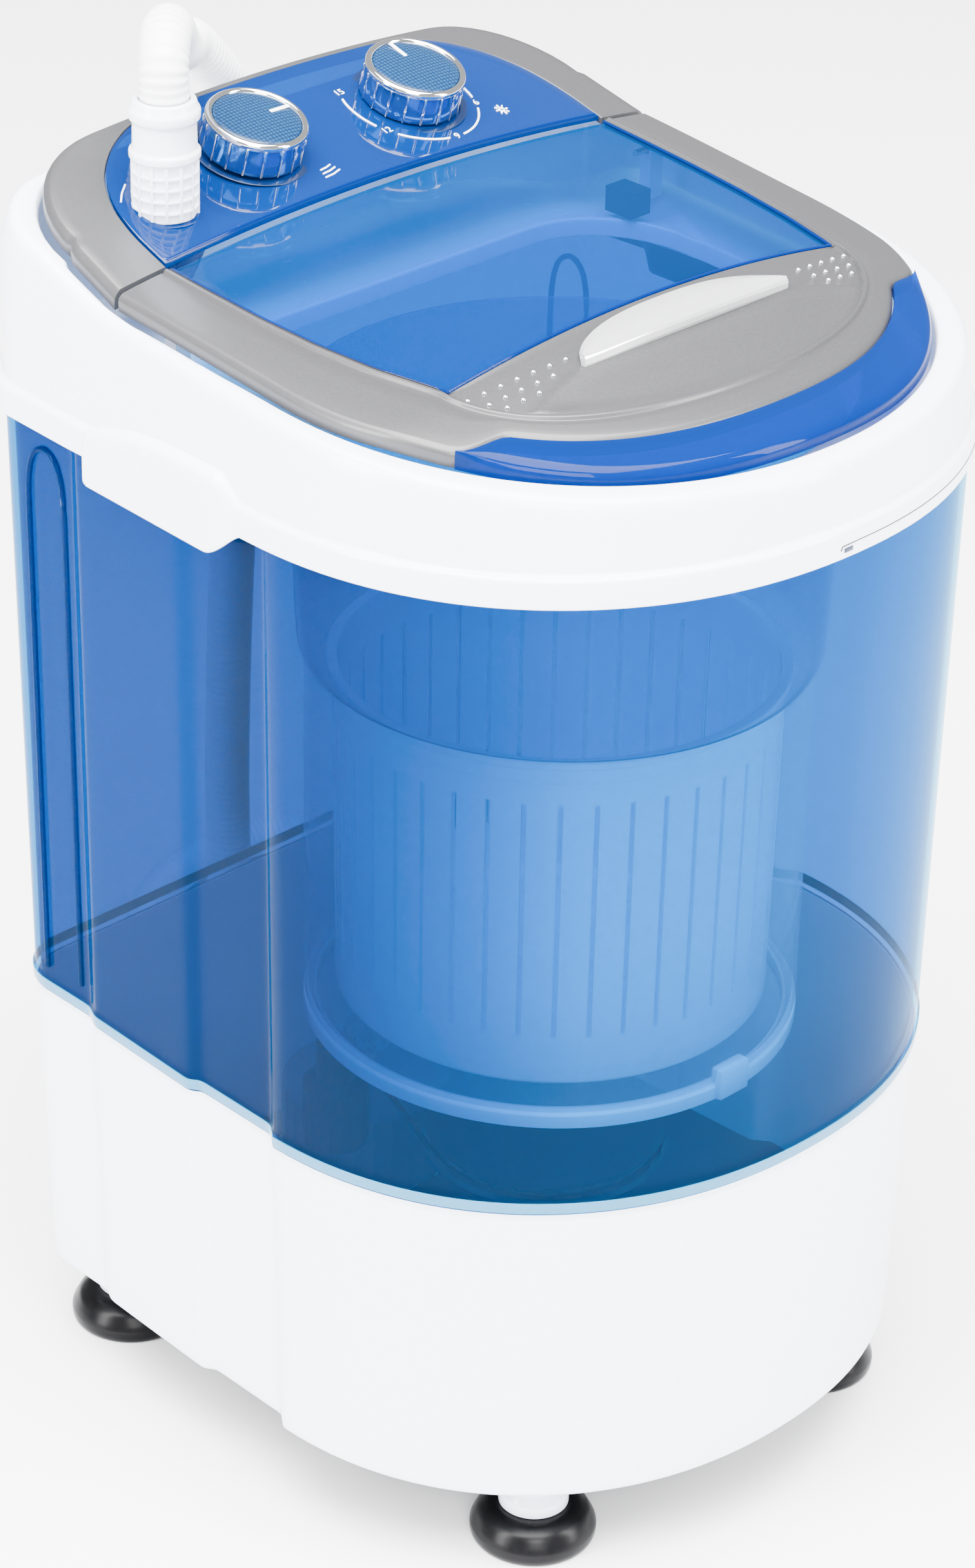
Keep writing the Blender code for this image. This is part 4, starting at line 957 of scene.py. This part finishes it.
# %% [markdown]
# Lid window, crescent lens, handle and the raised dimples of the two corners.

# %% lid fittings
window_loop = window_line(0.2)
rear = [(x, LID_REAR) for x, _ in spaced([(-127.0, 0.0), (127.0, 0.0)], 61)[1:-1]]
pane = plate(window_loop + rear, lid_z, -1.2, -3.6, (0.0, 12.0))
show("window_skin", pane, WINDOW_BLUE, "lid", ("lid_window",), sharp=50.0)
border = swept([(x, y, lid_z(x, y) - 0.6) for x, y in window_line(0.1)], 0.7, 6)
show("window_edge", border, LENS_BLUE, "lid")

full, drawn = lid_outline(-0.8), inset_edge(-0.5)
span = [i for i, (x, y) in enumerate(full) if y < -60.0 and abs(x) < 136.6]
outer_edge, inner_edge = [full[i] for i in span], [drawn[i] for i in span]
lens_rows = [lifted(outer_edge, lid_z, -7.3), lifted(outer_edge, lid_z, -2.2)]
lens_rows += [lifted(between(outer_edge, inner_edge, k), lid_z, rise)
              for k, rise in ((0.12, 0.2), (0.35, 0.6), (0.65, 0.7), (0.97, 0.3), (1.0, -0.6))]
lens_rows += [lifted(inner_edge, lid_z, -4.0), lifted(between(outer_edge, inner_edge, 0.15), lid_z, -5.0),
              lifted(between(outer_edge, inner_edge, 0.12), lid_z, -7.3)]
show("lens_skin", loft(lens_rows, [0.4, 2.0, 1.5, 0, 0, 0.4, 0.2, 0, 0, 0], sleeve=True, around=False),
     LENS_BLUE, "lid", ("lid_front_lens",), sharp=50.0)

bumps = []
for count, y_first, x_first in ((7, -76.6, 62.0), (5, -81.2, 73.6), (3, -85.4, 85.6)):
    for side in (-1.0, 1.0):
        for i in range(count):
            x = x_first + 8.2 * i
            y = y_first + (0.9 if count == 7 else 0.7) * i
            if side > 0 and x < 78.0:
                continue
            dot = bmesh.new()
            bmesh.ops.create_uvsphere(dot, u_segments=12, v_segments=8, radius=1.25)
            bmesh.ops.scale(dot, verts=dot.verts, vec=(1.0, 1.0, 0.75))
            bumps.append(placed(dot, side * x, y, lid_top(x, y) + 0.1))
show("lid_dimples", joined(bumps), CHROME, "lid")

HANDLE_RISE = 4.2
rows_handle = []
for i in range(49):
    t = -1.0 + 2.0 * i / 48
    x = 60.0 * t
    near = -88.6 + 3.0 * t * t
    far = near + 3.0 + 18.0 * (1.0 - abs(t) ** 2.6) ** 0.75
    section = ((near + 1.0, -1.4), (near, 0.4), (near, HANDLE_RISE - 0.6), (near + 0.8, HANDLE_RISE + 0.4),
               ((near + far) / 2.0, HANDLE_RISE + 1.3), (far - 0.3, HANDLE_RISE - 0.8),
               (far, HANDLE_RISE - 1.8), (far - 1.0, -0.6))
    rows_handle.append([(x, y, lid_z(x, max(y, -86.0)) - 0.08 * (y + 92.0) + up) for y, up in section])
handle = loft([softened(ring, [0, 0.5, 0.8, 0.8, 4, 0.8, 0.5, 0], 3, closed=True) for ring in rows_handle])
show("handle_skin", handle, HANDLE_PLATE, "lid", ("lid_handle",), sharp=50.0)
print("lid fittings made")

# %% [markdown]
# Tub, basket and pulsator. The basket's wall is one turned shape, pierced by narrow upright slots;
# it stands in the milky tub, under the splash ring that leads up to the wash mouth.

# %% tub and basket


def pierced_wall(radius, low, high, slots, slot_low, slot_high, half_slot, taper):
    """A ring of wall with slots left open between its columns."""
    bm = bmesh.new()
    levels = (low, slot_low, slot_high, high)
    angles = []
    for i in range(slots):
        mid = math.tau * i / slots
        width = half_slot / radius
        angles += [(mid - width, True), (mid + width, False), (mid + math.pi / slots, False)]
    grid = []
    for angle, _ in angles:
        column = []
        for z in levels:
            r = radius - taper * (high - z) / (high - low)
            column.append(bm.verts.new((r * math.cos(angle), r * math.sin(angle), z)))
        grid.append(column)
    for i, (_, opens) in enumerate(angles):
        right = grid[(i + 1) % len(grid)]
        for k in range(3):
            if not (opens and k == 1):
                bm.faces.new((grid[i][k], right[k], right[k + 1], grid[i][k + 1]))
    bmesh.ops.recalc_face_normals(bm, faces=bm.faces)
    bmesh.ops.solidify(bm, geom=bm.faces, thickness=2.0)
    return bm


lip_ring = turned([(95.8, 360.0), (98.2, 360.0), (98.2, 367.0), (101.0, 368.5), (101.0, 372.0),
                   (95.8, 372.0)], 96, [0, 0.5, 1, 1, 1, 1])
floor_ring = turned([(9.0, 212.0), (94.0, 212.0), (96.0, 214.0), (96.2, 222.0), (94.0, 222.0), (92.0, 214.6),
                     (9.0, 214.6)], 96, [0, 1, 1, 0, 0, 1, 0])
basket = joined([pierced_wall(98.0, 221.5, 361.0, 40, 236.0, 350.0, 1.15, 1.9), lip_ring, floor_ring])
show("basket_skin", placed(basket, 0.0, AXIS_Y), PALE, "basket", ("spin_basket",), sharp=40.0)

tub = turned([(108.0, 377.0), (108.0, 210.0), (105.5, 207.0), (100.0, 203.0), (13.2, 203.0), (13.2, 200.4),
              (101.0, 200.4), (105.5, 203.0), (110.0, 208.0), (110.0, 377.0)][::-1], 128,
             [0.5, 3, 2, 1, 0, 0, 1, 2, 3, 0.5])
show("tub_skin", placed(tub, 0.0, AXIS_Y), TUB_CLEAR, "housing", ("wash_tub",))
foot_ring = turned([(104.0, 199.2), (110.0, 199.2), (110.0, 205.6), (108.0, 207.0), (104.0, 207.0)], 128,
                   [0.3, 0.6, 0.8, 0.8, 0.3])
latch = block((-9.0, -112.6, 199.2), (9.0, -106.0, 214.0), 1.2)
show("tub_foot", placed(joined([foot_ring, latch]), 0.0, AXIS_Y), PALE, "housing")

splash = turned([(108.8, 378.0), (111.0, 377.6), (113.5, 382.0), (114.5, 400.0), (117.0, 488.0),
                 (114.6, 488.0), (112.0, 400.0), (110.8, 383.0)], 128, [0.4, 0.6, 2, 4, 0.4, 0.4, 4, 2])
show("splash_skin", placed(splash, 0.0, AXIS_Y), SPLASH_BLUE, "housing", ("splash_ring",))

DISC = ((78.0, 214.9), (78.0, 216.6), (70.0, 218.0), (50.0, 220.0), (28.0, 222.6), (10.0, 224.2),
        (0.6, 224.4))
disc_rings = []
for r, z in DISC:
    ring = []
    for i in range(144):
        angle = math.tau * i / 144
        vane = bend((math.cos(angle * 4.0 + 0.9 * math.sin(angle * 4.0)) - 0.78) / 0.2)
        reach = bend((r - 8.0) / 12.0) * bend((79.0 - r) / 8.0)
        ring.append((r * math.cos(angle), r * math.sin(angle), z + 7.5 * vane * reach))
    disc_rings.append(ring)
pulsator = placed(loft(disc_rings), 0.0, AXIS_Y)
show("pulsator_skin", pulsator, WHITE, "drive", ("pulsator",), sharp=60.0)
print("tub, basket and pulsator made")

# %% [markdown]
# Parts carried over from the CAD frame: the drive below the tub, the hinge hardware and the
# fittings on the rear wall keep their solids and get proper finishes.

# %% carried-over parts
KEPT = {
    "bottom_plate": DARK, "bearing_housing": CASTING, "lower_bearing": STEEL, "upper_bearing": STEEL,
    "drive_shaft": STEEL, "drive_pulley": PULLEY, "drive_belt": RUBBER, "motor": MOTOR_PAINT,
    "motor_mount": STEEL, "motor_shaft": STEEL, "motor_pulley": STEEL, "capacitor": CAN,
    "drain_valve": DARK, "drain_spigot": WHITE, "cord_gland": RUBBER, "lid_switch": DARK,
    "shaft_seal": RUBBER, "wash_timer": DARK, "mode_switch": DARK, "inlet_port": PANEL_BLUE,
    "hinge_bracket_left": WHITE, "hinge_bracket_right": WHITE, "hinge_pin_left": STEEL,
    "hinge_pin_right": STEEL, "selector_shaft": STEEL, "timer_shaft": STEEL}
for name, made in KEPT.items():
    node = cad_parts[name]
    node.data.materials.clear()
    node.data.materials.append(made)
print("finishes given to", len(KEPT), "carried-over parts")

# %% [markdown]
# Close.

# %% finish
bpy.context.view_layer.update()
